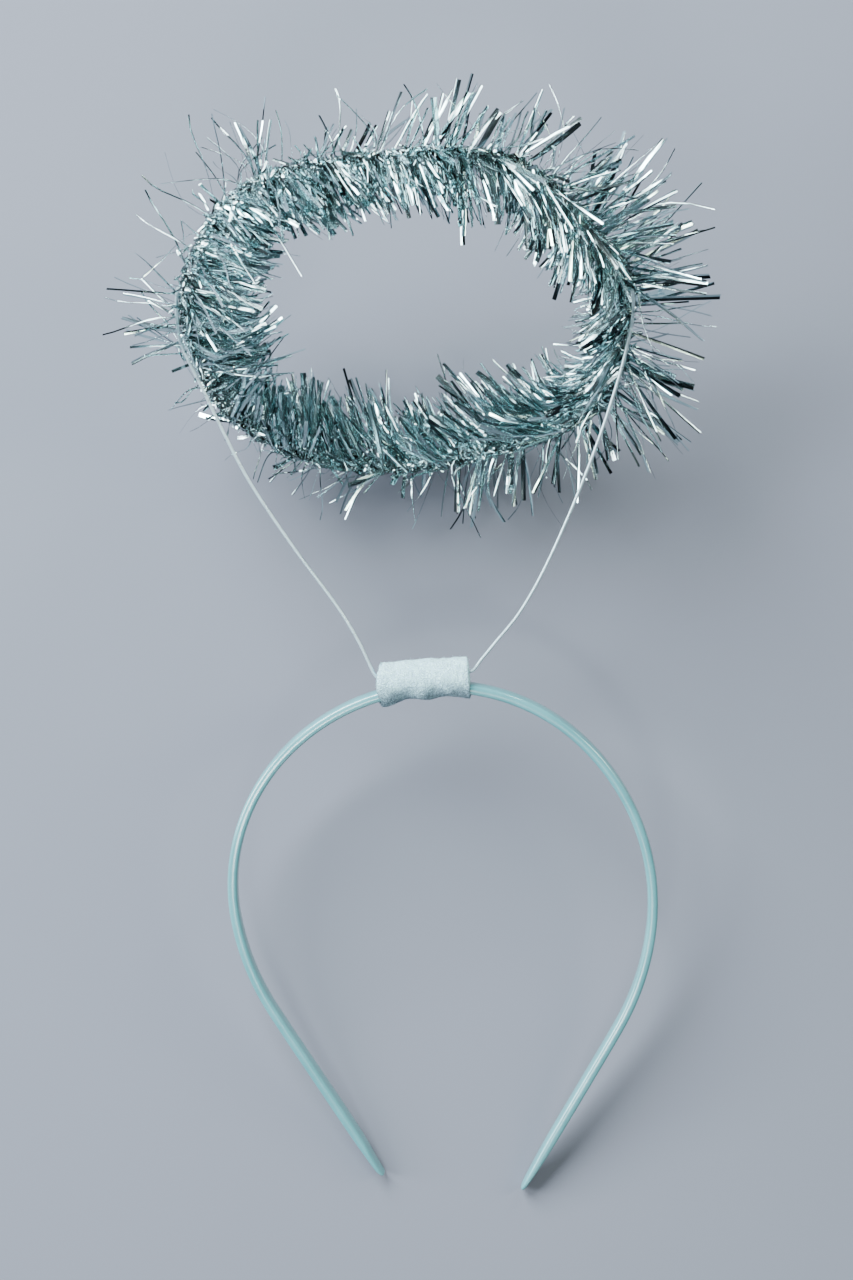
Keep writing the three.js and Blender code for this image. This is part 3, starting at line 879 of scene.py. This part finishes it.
def wire_finish(look):
    """Drawn metal: long fine lines and slight dulling."""
    finish = Finish("drawn wire", Metallic=0.55)
    place = finish.coords()
    lines = finish.group(
        shared("drawn lines", streak_group),
        {"UV": finish.coords("UV"), "Across": 14.0, "Along": 6.0}, "Height",
    )
    dull = finish.group(shared("mottle", mottle_group), {"Vector": place, "Scale": 300.0}, "Mask")
    finish.feed(finish.blend(dull, shade(look.colour, 0.9), shade(look.colour, 1.05)), "Base Color")
    finish.feed(finish.between(dull, look.roughness - 0.08, look.roughness + 0.1), "Roughness")
    finish.feed(finish.bump(lines, 0.00003, 0.5), "Normal")
    return finish.material


def foil_finish(name, look, tone_low, tone_high):
    """Metallised film: each strip has its own tone, with creases along its length."""
    finish = Finish(name, Metallic=1.0)
    tone = finish.sheet.add("ShaderNodeAttribute", {"attribute_name": "tone"}).outputs["Fac"]
    far = finish.sheet.math("MULTIPLY", tone, 50.0)
    lines = finish.group(
        shared("drawn lines", streak_group),
        {"UV": finish.coords("UV"), "Across": 2.0, "Along": 0.7, "Shift": far}, "Height",
    )
    tint = finish.blend(tone, shade(look.colour, tone_low), shade(look.colour, tone_high))
    finish.feed(tint, "Base Color")
    finish.feed(finish.between(finish.sheet.math("FRACT", far), 0.05, 0.24), "Roughness")
    finish.feed(finish.bump(lines, 0.00015, 0.25), "Normal")
    return finish.material


def floor_finish(look):
    """Matt paper with hardly visible clouding."""
    finish = Finish("floor", Roughness=0.85)
    cloud = finish.group(
        shared("mottle", mottle_group), {"Vector": finish.coords(), "Scale": 3.0}, "Mask"
    )
    finish.feed(
        finish.blend(cloud, shade(look.floor_colour, 0.98), shade(look.floor_colour, 1.02)), "Base Color"
    )
    return finish.material


# Pieces

def finish_piece(piece, slot, *nodes):
    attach(piece, ROOT)
    if nodes:
        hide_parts(*nodes)


def make_band(look):
    """The plastic band, smoothed through the solid's own sections."""
    rings = lofted_rings("headband", 8, Vector((0, -1, 0)), 7 * MM)
    piece = link("band", skin_mesh("band", rings))
    subdivide(piece, look.smoothing)
    settle(piece)
    smooth_shade(piece)
    piece.data.materials.append(band_finish(look))
    finish_piece(piece, "band_plastic", "headband")


def strip_end(ring):
    """Index of a strip section's first point, from where its two faces run side by side."""
    size = len(ring)
    half = size // 2

    def spread(start):
        return sum((ring[(start + k) % size] - ring[start - 1 - k]).length for k in range(half))

    return min(range(half), key=spread)


def round_off(ring, start, times):
    """A strip's section with softer corners. Its two faces are smoothed apart, and its ends stay."""
    half = len(ring) // 2
    turned = ring[start:] + ring[:start]
    faces = [turned[:half], turned[half:]]
    for _ in range(times):
        faces = [
            [row[0], *((a + 2 * b + c) / 4 for a, b, c in zip(row, row[1:], row[2:])), row[-1]]
            for row in faces
        ]
    return faces[0] + faces[1]


def set_back_end(ring):
    """A felt end section that bulges: it is set back at its top and at its bottom."""
    flat = [LAY.inverted() @ point for point in ring]
    left = min(point.x for point in flat)
    low = min(point.y for point in flat)
    high = max(point.y for point in flat)
    middle = (low + high) / 2
    for point in flat:
        share = (point.y - middle) / (high - middle)
        depth = FELT_END_HIGH if share > 0 else FELT_END_LOW
        point.x = left + depth * share * share
    return [LAY @ point for point in flat]


def felt_form(mesh, look):
    """Rounds the sleeve's front and presses the winding's dents and lumps into it."""
    flat = [LAY.inverted() @ vert.co for vert in mesh.vertices]
    low = Vector([min(point[k] for point in flat) for k in range(3)])
    high = Vector([max(point[k] for point in flat) for k in range(3)])
    middle = (low + high) / 2
    half = (high - low) / 2
    turn = LAY.to_3x3()
    normals = [vert.normal.copy() for vert in mesh.vertices]
    for vert, point, normal in zip(mesh.vertices, flat, normals):
        along = (point.x - middle.x) / half.x
        rise = (point.y - middle.y) / half.y
        front = max(0.0, (point.z - middle.z) / half.z)
        edge = FELT_ROLL_LOW if rise < 0 else FELT_ROLL_HIGH
        drop = edge * front * abs(rise) ** 2.2
        drop += FELT_ROLL_END * front * abs(along) ** 8
        for at, up, wide, deep in FELT_DENTS:
            away = ((along - at) / wide) ** 2 + ((rise - up) / 0.5) ** 2
            drop += deep * front * math.exp(-away)
        lumps = look.wrinkle * (0.8 * noise.noise(vert.co * 160) + 0.35 * noise.noise(vert.co * 520))
        vert.co += normal * lumps + turn @ Vector((0, 0, -drop))


def fibre_tree():
    """Short fibres scattered over a surface."""
    tree = geometry_tree("fibres on felt", (
        ("Fibres", "Collection", None),
        ("Density", "Float", 1.0),
        ("Length", "Float", 0.001),
        ("Seed", "Int", 1),
        ("Material", "Material", None),
    ))
    sheet = NodeSheet(tree)
    given = sheet.add("NodeGroupInput").outputs
    spread = sheet.add(
        "GeometryNodeDistributePointsOnFaces", None,
        {"Mesh": given["Geometry"], "Density": given["Density"], "Seed": given["Seed"]},
    )
    jitter = sheet.draw("FLOAT_VECTOR", (-1.3, -1.3, -1.3), (1.3, 1.3, 1.3), given["Seed"])
    away = sheet.vector("ADD", spread.outputs["Normal"], jitter)
    aim = sheet.add("FunctionNodeAlignRotationToVector", {"axis": "Z"}, {"Vector": away})
    long = sheet.math("MULTIPLY", given["Length"], sheet.draw("FLOAT", 0.35, 1.0, given["Seed"]))
    size = sheet.add("ShaderNodeCombineXYZ", None, {"X": long, "Y": long, "Z": long})
    placed = sheet.add("GeometryNodeInstanceOnPoints", None, {
        "Points": spread.outputs["Points"],
        "Instance": sheet.shapes(given["Fibres"]),
        "Pick Instance": True,
        "Instance Index": sheet.draw("INT", 0, 1000, given["Seed"]),
        "Rotation": aim.outputs[0],
        "Scale": size.outputs[0],
    })
    whole = sheet.add("GeometryNodeRealizeInstances", None, {"Geometry": placed.outputs[0]})
    finished = sheet.add(
        "GeometryNodeSetMaterial", None, {"Geometry": whole.outputs[0], "Material": given["Material"]}
    )
    sheet.add("NodeGroupOutput", None, {"Geometry": finished.outputs[0]})
    return tree


def thread_mesh(name, points, radius, sides=3):
    """Thin closed thread along points, with its ends drawn in."""
    last = len(points) - 1
    rings = []
    across = None
    for i, point in enumerate(points):
        along = (points[min(i + 1, last)] - points[max(i - 1, 0)]).normalized()
        if across is None:
            across = along.orthogonal()
        across = (across - along * across.dot(along)).normalized()
        other = along.cross(across)
        share = 0.4 if i in (0, last) else 1.0
        rings.append([
            point + (across * math.cos(math.tau * k / sides) + other * math.sin(math.tau * k / sides))
            * radius * share
            for k in range(sides)
        ])
    return skin_mesh(name, rings)


def collect(name, meshes):
    """Collection of loose objects that a tree picks from. It isn't part of the scene."""
    group = bpy.data.collections.new(name)
    for index, mesh in enumerate(meshes):
        group.objects.link(bpy.data.objects.new("%s_%02d" % (name, index), mesh))
    return group


def discard(group):
    """Deletes a collection and the meshes in it."""
    for item in list(group.objects):
        mesh = item.data
        bpy.data.objects.remove(item)
        bpy.data.meshes.remove(mesh)
    bpy.data.collections.remove(group)


def make_felt(look):
    """The wound felt sleeve and the loose fibres on it."""
    axis = LAY.to_3x3() @ Vector((1, 0.09, 0))
    drawn = lofted_rings("crown_sleeve", 54, axis, 30 * MM)
    start = strip_end(drawn[0])
    rings = [round_off(ring, start, look.softness) for ring in drawn]
    left = min((0, -1), key=lambda k: middle_of(rings[k]).x)
    rings[left] = set_back_end(rings[left])
    piece = link("felt_sleeve", skin_mesh("felt_sleeve", resample(rings, 7)))
    subdivide(piece, 2)
    settle(piece)
    mesh = piece.data
    felt_form(mesh, look)
    smooth_shade(piece)
    material = felt_finish(look)
    mesh.materials.append(material)
    finish_piece(piece, "felt", "crown_sleeve")

    draw = random.Random(3)
    threads = []
    for index in range(6):
        bend = Vector((draw.uniform(-0.5, 0.5), draw.uniform(-0.5, 0.5), 0))
        points = [Vector((0, 0, -0.1)), Vector((0, 0, 0.4)) + bend * 0.3, Vector((0, 0, 0.8)) + bend]
        threads.append(thread_mesh("fibre_%02d" % index, points, 0.02))
    fibres = collect("fibre", threads)
    area = sum(face.area for face in mesh.polygons)
    fuzz = link("felt_fuzz", mesh.copy())
    run_tree(fuzz, fibre_tree(), {
        "Fibres": fibres,
        "Density": look.fibres / area,
        "Length": look.fibre_length,
        "Seed": 5,
        "Material": material,
    })
    discard(fibres)
    finish_piece(fuzz, "felt")


def make_wire(look):
    """The round wire, on the solid's middle line."""
    line = wire_line()
    curve = bpy.data.curves.new("wire_path", "CURVE")
    curve.dimensions = "3D"
    curve.resolution_u = 3
    curve.bevel_depth = look.diameter / 2
    curve.bevel_resolution = 2
    curve.use_fill_caps = True
    spline = curve.splines.new("BEZIER")
    spline.bezier_points.add(len(line) - 1)
    for point, place in zip(spline.bezier_points, line):
        point.co = place
        point.handle_left_type = "AUTO"
        point.handle_right_type = "AUTO"
    draft = bpy.data.objects.new("wire_path", curve)
    bpy.context.scene.collection.objects.link(draft)
    graph = bpy.context.evaluated_depsgraph_get()
    mesh = bpy.data.meshes.new_from_object(draft.evaluated_get(graph), depsgraph=graph)
    bpy.data.objects.remove(draft)
    bpy.data.curves.remove(curve)
    piece = link("wire", mesh)
    smooth_shade(piece)
    mesh.materials.clear()
    mesh.materials.append(wire_finish(look))
    finish_piece(piece, "wire_metal", "support_wire")


def blade_mesh(name, width, draw, rows=6, thickness=0.00008, bend=0.0016, twist=0.3, fold=0.14):
    """One strip, one unit long: a creased ribbon that bends and twists, closed all round."""
    lean_x = draw.uniform(-bend, bend)
    lean_y = draw.uniform(-bend, bend) * 1.6
    curl = draw.uniform(-twist, twist)
    crease = draw.uniform(-fold, fold) * width
    wave = draw.uniform(0, math.tau)
    rings = []
    for row in range(rows):
        t = row / (rows - 1)
        turn = curl * t + 0.15 * math.sin(3 * t + wave)
        wide = width * (0.7 + 0.3 * min(1.0, 3 * t)) / 2
        centre = Vector((lean_x * t * t, lean_y * t * t + 0.3 * bend * math.sin(4 * t + wave) * t, t))
        side = Vector((math.cos(turn), math.sin(turn), 0))
        face = Vector((-math.sin(turn), math.cos(turn), 0))
        half = face * thickness / 2
        ridge = face * crease
        rings.append([
            centre - side * wide - half,
            centre + ridge - half,
            centre + side * wide - half,
            centre + side * wide + half,
            centre + ridge + half,
            centre - side * wide + half,
        ])
    mesh = skin_mesh(name, rings)
    for uv in mesh.uv_layers["UVMap"].data:
        uv.uv = (uv.uv[0], uv.uv[1] / width)
    return mesh


def tuft_values(draw, count, low, high):
    """Random values on a closed row of points that change from tuft to tuft."""
    drawn = [draw.uniform(low, high) for _ in range(count // TUFT_STEP)]
    values = []
    for k in range(count):
        share = (k % TUFT_STEP) / TUFT_STEP
        after = drawn[(k // TUFT_STEP + 1) % len(drawn)]
        values.append(drawn[k // TUFT_STEP] * (1 - share) + after * share)
    return values


def core_path(name, draw):
    """The ring's core as a closed line of points that carry the directions of the pile."""
    count = 180
    angles = [360 * k / count for k in range(count)]
    turn = LAY.to_3x3()
    lean = math.radians(RING_LEAN)
    flank = turn @ Vector((0, -math.sin(lean), math.cos(lean)))
    middle = LAY @ RING_MIDDLE
    points = [LAY @ flat_ring_point(angle) for angle in angles]
    thinning = tuft_values(draw, count, 1 - TUFT_THINNING, 1 + TUFT_THINNING)
    shortening = tuft_values(draw, count, 1 - TUFT_SHORTENING, 1 + TUFT_SHORTENING)
    rows = {
        "inward": [], "flank": [], "travel": [], "comb": [], "all": [],
        "inner_reach": [], "outer_reach": [], "outer_share": [], "thread_share": [],
        "tuft_turn": tuft_values(draw, count, math.radians(-TUFT_TURN), math.radians(TUFT_TURN)),
        "tuft_lean": tuft_values(draw, count, -TUFT_LEAN, TUFT_LEAN),
        "inner_share": thinning,
    }
    for k, angle in enumerate(angles):
        travel = (points[k - 1] - points[(k + 1) % count]).normalized()
        inward = middle - points[k]
        inward = (inward - travel * inward.dot(travel)).normalized()
        rows["inward"].append(inward)
        rows["flank"].append(flank)
        rows["travel"].append(travel)
        rows["comb"].append(math.radians(COMB_TURN * math.sin(math.radians(angle))))
        rows["inner_reach"].append(smooth_step(INNER_REACH, angle) * shortening[k])
        rows["outer_reach"].append(smooth_step(OUTER_REACH, angle) * shortening[k])
        rows["outer_share"].append(smooth_step(OUTER_SHARE, angle) * thinning[k])
        rows["thread_share"].append(smooth_step(THREAD_SHARE, angle) * thinning[k])
        rows["all"].append(1.0)
    mesh = bpy.data.meshes.new(name)
    mesh.from_pydata(points, [(k, (k + 1) % count) for k in range(count)], [])
    for key, values in rows.items():
        if isinstance(values[0], Vector):
            data = mesh.attributes.new(key, "FLOAT_VECTOR", "POINT").data
            data.foreach_set("vector", [value for vector in values for value in vector])
        else:
            data = mesh.attributes.new(key, "FLOAT", "POINT").data
            data.foreach_set("value", values)
    return mesh


def core_cords(material):
    """The two twisted threads that hold the strips, as one closed piece."""
    count = 360
    twist = 46
    radius = 0.7 * MM
    turn = LAY.to_3x3()
    lean = math.radians(RING_LEAN)
    flank = turn @ Vector((0, -math.sin(lean), math.cos(lean)))
    middle = LAY @ RING_MIDDLE
    points = []
    faces = []
    sides = 6
    for strand in range(2):
        base = len(points)
        for k in range(count):
            angle = 360 * k / count
            centre = LAY @ flat_ring_point(angle)
            inward = (middle - centre).normalized()
            swing = math.tau * (twist * k / count + strand / 2)
            centre = centre + (inward * math.cos(swing) + flank * math.sin(swing)) * radius
            for side in range(sides):
                around = math.tau * side / sides
                points.append(centre + (inward * math.cos(around) + flank * math.sin(around)) * radius)
        for k in range(count):
            after = (k + 1) % count
            for side in range(sides):
                beside = (side + 1) % sides
                faces.append((
                    base + k * sides + side, base + after * sides + side,
                    base + after * sides + beside, base + k * sides + beside,
                ))
    mesh = bpy.data.meshes.new("core_threads")
    mesh.from_pydata(points, [], faces)
    bm = bmesh.new()
    bm.from_mesh(mesh)
    bmesh.ops.recalc_face_normals(bm, faces=bm.faces)
    bm.to_mesh(mesh)
    bm.free()
    mesh.materials.append(material)
    piece = link("core_threads", mesh)
    smooth_shade(piece)
    return piece


def wire_fence(height):
    """Sheet that stands on the wire, on the side that the view comes from. No strip crosses it."""
    line = wire_line()
    rise = LAY.to_3x3() @ Vector((0, 0, height))
    points = line + [point + rise for point in line]
    size = len(line)
    faces = [(k, k + 1, size + k + 1, size + k) for k in range(size - 1)]
    mesh = bpy.data.meshes.new("wire_fence")
    mesh.from_pydata(points, [], faces)
    return bpy.data.objects.new("wire_fence", mesh)


def make_tinsel(look):
    """The garland: layers of strips and threads on the ring's core."""
    foil = foil_finish("foil strips", look, 0.4, 1.35)
    dark = foil_finish("foil at the core", look, 0.25, 1.0)
    draw = random.Random(look.seed)
    wide = collect("blade", [
        blade_mesh("blade_%02d" % k, look.strip_width * (0.3 + 0.7 * (k / 19) ** 2), draw)
        for k in range(20)
    ])
    thin, loose, short = (
        collect(name, [blade_mesh("%s_%02d" % (name, k), width, draw, rows, bend=bend, twist=twist)
                       for k in range(10)])
        for name, width, rows, bend, twist in (
            ("hair", 0.45 * MM, 5, 0.004, 2.0),
            ("thread", 0.5 * MM, 8, 0.01, 2.0),
            ("crumple", 1.0 * MM, 5, 0.003, 2.6),
        )
    )
    tree = strip_tree()
    fence = wire_fence(0.03)
    lean = math.tan(look.lean)
    inset = Vector((0.3, 0.3, 0.3)) * MM
    common = {
        "Low Corner": Vector(solids_low) + inset,
        "High Corner": Vector(solids_high) - inset,
        "Keep Clear": fence,
        "Comb": 1.0,
    }
    inputs = (
        "Length", "Length Spread", "Turn", "Turn Spread", "Lean", "Lean Spread",
        "Root Scatter", "Clearance", "Share Name", "Reach Name",
    )
    layers = (
        ("tinsel_inner", wide, foil, look.inner_strips, (
            look.strip_length, 0.28, 0.0, math.radians(82), lean, 0.2,
            1.6 * MM, 1.3 * MM, "inner_share", "inner_reach",
        )),
        ("tinsel_outer", wide, foil, look.outer_strips, (
            look.strip_length, 0.3, math.pi, math.radians(72), 0.8 * lean, 0.3,
            1.6 * MM, 1.3 * MM, "outer_share", "outer_reach",
        )),
        ("tinsel_hairs", thin, foil, look.hairs, (
            look.strip_length, 0.5, 0.0, math.radians(110), lean, 0.5,
            2.2 * MM, 1.0 * MM, "inner_share", "inner_reach",
        )),
        ("tinsel_threads", loose, foil, look.threads, (
            look.strip_length, 0.5, math.pi, math.radians(60), 0.6 * lean, 0.6,
            2.2 * MM, 1.0 * MM, "thread_share", "outer_reach",
        )),
        ("tinsel_core", short, dark, look.crumples, (
            5.5 * MM, 0.5, 0.0, 2.4, 0.0, 1.5,
            1.5 * MM, 0.4 * MM, "all", "all",
        )),
    )
    for index, (name, blades, material, count, values) in enumerate(layers):
        piece = link(name, core_path(name, draw))
        run_tree(piece, tree, {
            "Blades": blades, "Count": count, "Seed": look.seed + 20 * index, "Material": material,
            **common, **dict(zip(inputs, values)),
        })
        finish_piece(piece, "foil", *(("tinsel_ring",) if index == 0 else ()))
    for group in (wide, thin, loose, short):
        discard(group)
    mesh = fence.data
    bpy.data.objects.remove(fence)
    bpy.data.meshes.remove(mesh)
    finish_piece(core_cords(dark), "foil")


# Stage

def add_light(name, place, aim, size, power, colour):
    """Rectangular light that points at a place."""
    data = bpy.data.lights.new(name, "AREA")
    data.shape = "RECTANGLE"
    data.size, data.size_y = size
    data.energy = power
    data.color = colour
    lamp = bpy.data.objects.new(name, data)
    lamp.location = place
    lamp.rotation_euler = (aim - place).to_track_quat("-Z", "Y").to_euler()
    bpy.context.scene.collection.objects.link(lamp)


def make_stage(look):
    """The camera, the floor, the lights and the world."""
    turn = LAY.to_3x3()
    aim = LAY @ (Vector((-4.71, 77.09, 0)) * MM)
    back = turn @ Vector((0, math.sin(look.camera_tilt), math.cos(look.camera_tilt)))
    upward = turn @ Vector((0, math.cos(look.camera_tilt), -math.sin(look.camera_tilt)))
    data = bpy.data.cameras.new("camera")
    data.sensor_width = 36
    data.lens = look.lens
    data.clip_end = 20
    camera = bpy.data.objects.new("camera", data)
    side = upward.cross(back)
    camera.matrix_world = Matrix.Translation(aim + back * look.camera_distance) @ Matrix(
        (side, upward, back)
    ).transposed().to_4x4()
    bpy.context.scene.collection.objects.link(camera)
    bpy.context.scene.camera = camera

    half = 3.0
    corners = [(-half, -half, 0), (half, -half, 0), (half, half, 0), (-half, half, 0)]
    mesh = bpy.data.meshes.new("floor")
    mesh.from_pydata(corners, [], [(0, 1, 2, 3)])
    mesh.materials.append(floor_finish(look))
    floor = link("floor", mesh)

    target = Vector((0, 0.05, 0.03))
    for name, place, size, power, colour in (
        ("key", (-0.75, 1.0, 1.0), (1.0, 1.0), 1.1, (0.94, 0.985, 1.0)),
        ("right", (1.3, 0.4, 0.9), (0.2, 0.8), 0.14, (1.0, 1.0, 0.82)),
        ("back right", (0.7, 1.2, 0.7), (0.12, 0.4), 0.06, (1.0, 1.0, 0.95)),
        ("gloss", (-0.26, -0.8, 1.5), (0.45, 0.2), 0.1, (1.0, 1.0, 1.0)),
        ("left", (-1.4, 0.1, 0.7), (0.5, 1.2), 0.5, (0.95, 0.98, 1.0)),
        ("low", (0.3, -1.3, 0.6), (0.9, 0.12), 0.04, (0.9, 0.97, 1.0)),
    ):
        add_light(name, Vector(place), target, size, power * look.key_power, colour)

    world = bpy.data.worlds.new("studio")
    world.use_nodes = True
    world.node_tree.nodes["Background"].inputs["Color"].default_value = (0.012, 0.015, 0.02, 1)
    bpy.context.scene.world = world


# Operators

class HALO_OT_band(bpy.types.Operator):
    """Make the plastic band"""

    bl_idname = "halo.band"
    bl_label = "Band"

    def execute(self, context):
        make_band(context.scene.halo_band)
        return {"FINISHED"}


class HALO_OT_felt(bpy.types.Operator):
    """Make the wound felt sleeve and its loose fibres"""

    bl_idname = "halo.felt"
    bl_label = "Felt Sleeve"

    def execute(self, context):
        make_felt(context.scene.halo_felt)
        return {"FINISHED"}


class HALO_OT_wire(bpy.types.Operator):
    """Make the support wire"""

    bl_idname = "halo.wire"
    bl_label = "Support Wire"

    def execute(self, context):
        make_wire(context.scene.halo_wire)
        return {"FINISHED"}


class HALO_OT_tinsel(bpy.types.Operator):
    """Make the tinsel garland of the halo"""

    bl_idname = "halo.tinsel"
    bl_label = "Tinsel Ring"

    def execute(self, context):
        make_tinsel(context.scene.halo_tinsel)
        return {"FINISHED"}


class HALO_OT_stage(bpy.types.Operator):
    """Make the camera, the floor and the lights"""

    bl_idname = "halo.stage"
    bl_label = "Stage"

    def execute(self, context):
        make_stage(context.scene.halo_stage)
        return {"FINISHED"}


class HALO_PT_panel(bpy.types.Panel):
    """Lists the headpiece's pieces with their sizes and colours"""

    bl_idname = "HALO_PT_panel"
    bl_label = "Halo Headband"
    bl_space_type = "VIEW_3D"
    bl_region_type = "UI"
    bl_category = "Halo"

    def draw(self, context):
        for key, operator in PIECES:
            column = self.layout.column()
            column.operator("halo." + operator)
            look = getattr(context.scene, key)
            for name in look.__annotations__:
                column.prop(look, name)


PIECES = (
    ("halo_stage", "stage"),
    ("halo_band", "band"),
    ("halo_felt", "felt"),
    ("halo_wire", "wire"),
    ("halo_tinsel", "tinsel"),
)
LOOKS = {
    "halo_stage": HaloStage,
    "halo_band": HaloBand,
    "halo_felt": HaloFelt,
    "halo_wire": HaloWire,
    "halo_tinsel": HaloTinsel,
}
CLASSES = (
    *LOOKS.values(),
    HALO_OT_stage,
    HALO_OT_band,
    HALO_OT_felt,
    HALO_OT_wire,
    HALO_OT_tinsel,
    HALO_PT_panel,
)


def register():
    """Adds the classes and the scene properties."""
    for cls in CLASSES:
        bpy.utils.register_class(cls)
    for key, look in LOOKS.items():
        setattr(bpy.types.Scene, key, PointerProperty(type=look))


def unregister():
    """Takes the classes and the scene properties away."""
    for key in LOOKS:
        delattr(bpy.types.Scene, key)
    for cls in reversed(CLASSES):
        bpy.utils.unregister_class(cls)


def main():
    """Makes every piece."""
    register()
    for _, operator in PIECES:
        getattr(bpy.ops.halo, operator)()


if __name__ == "__main__":
    main()
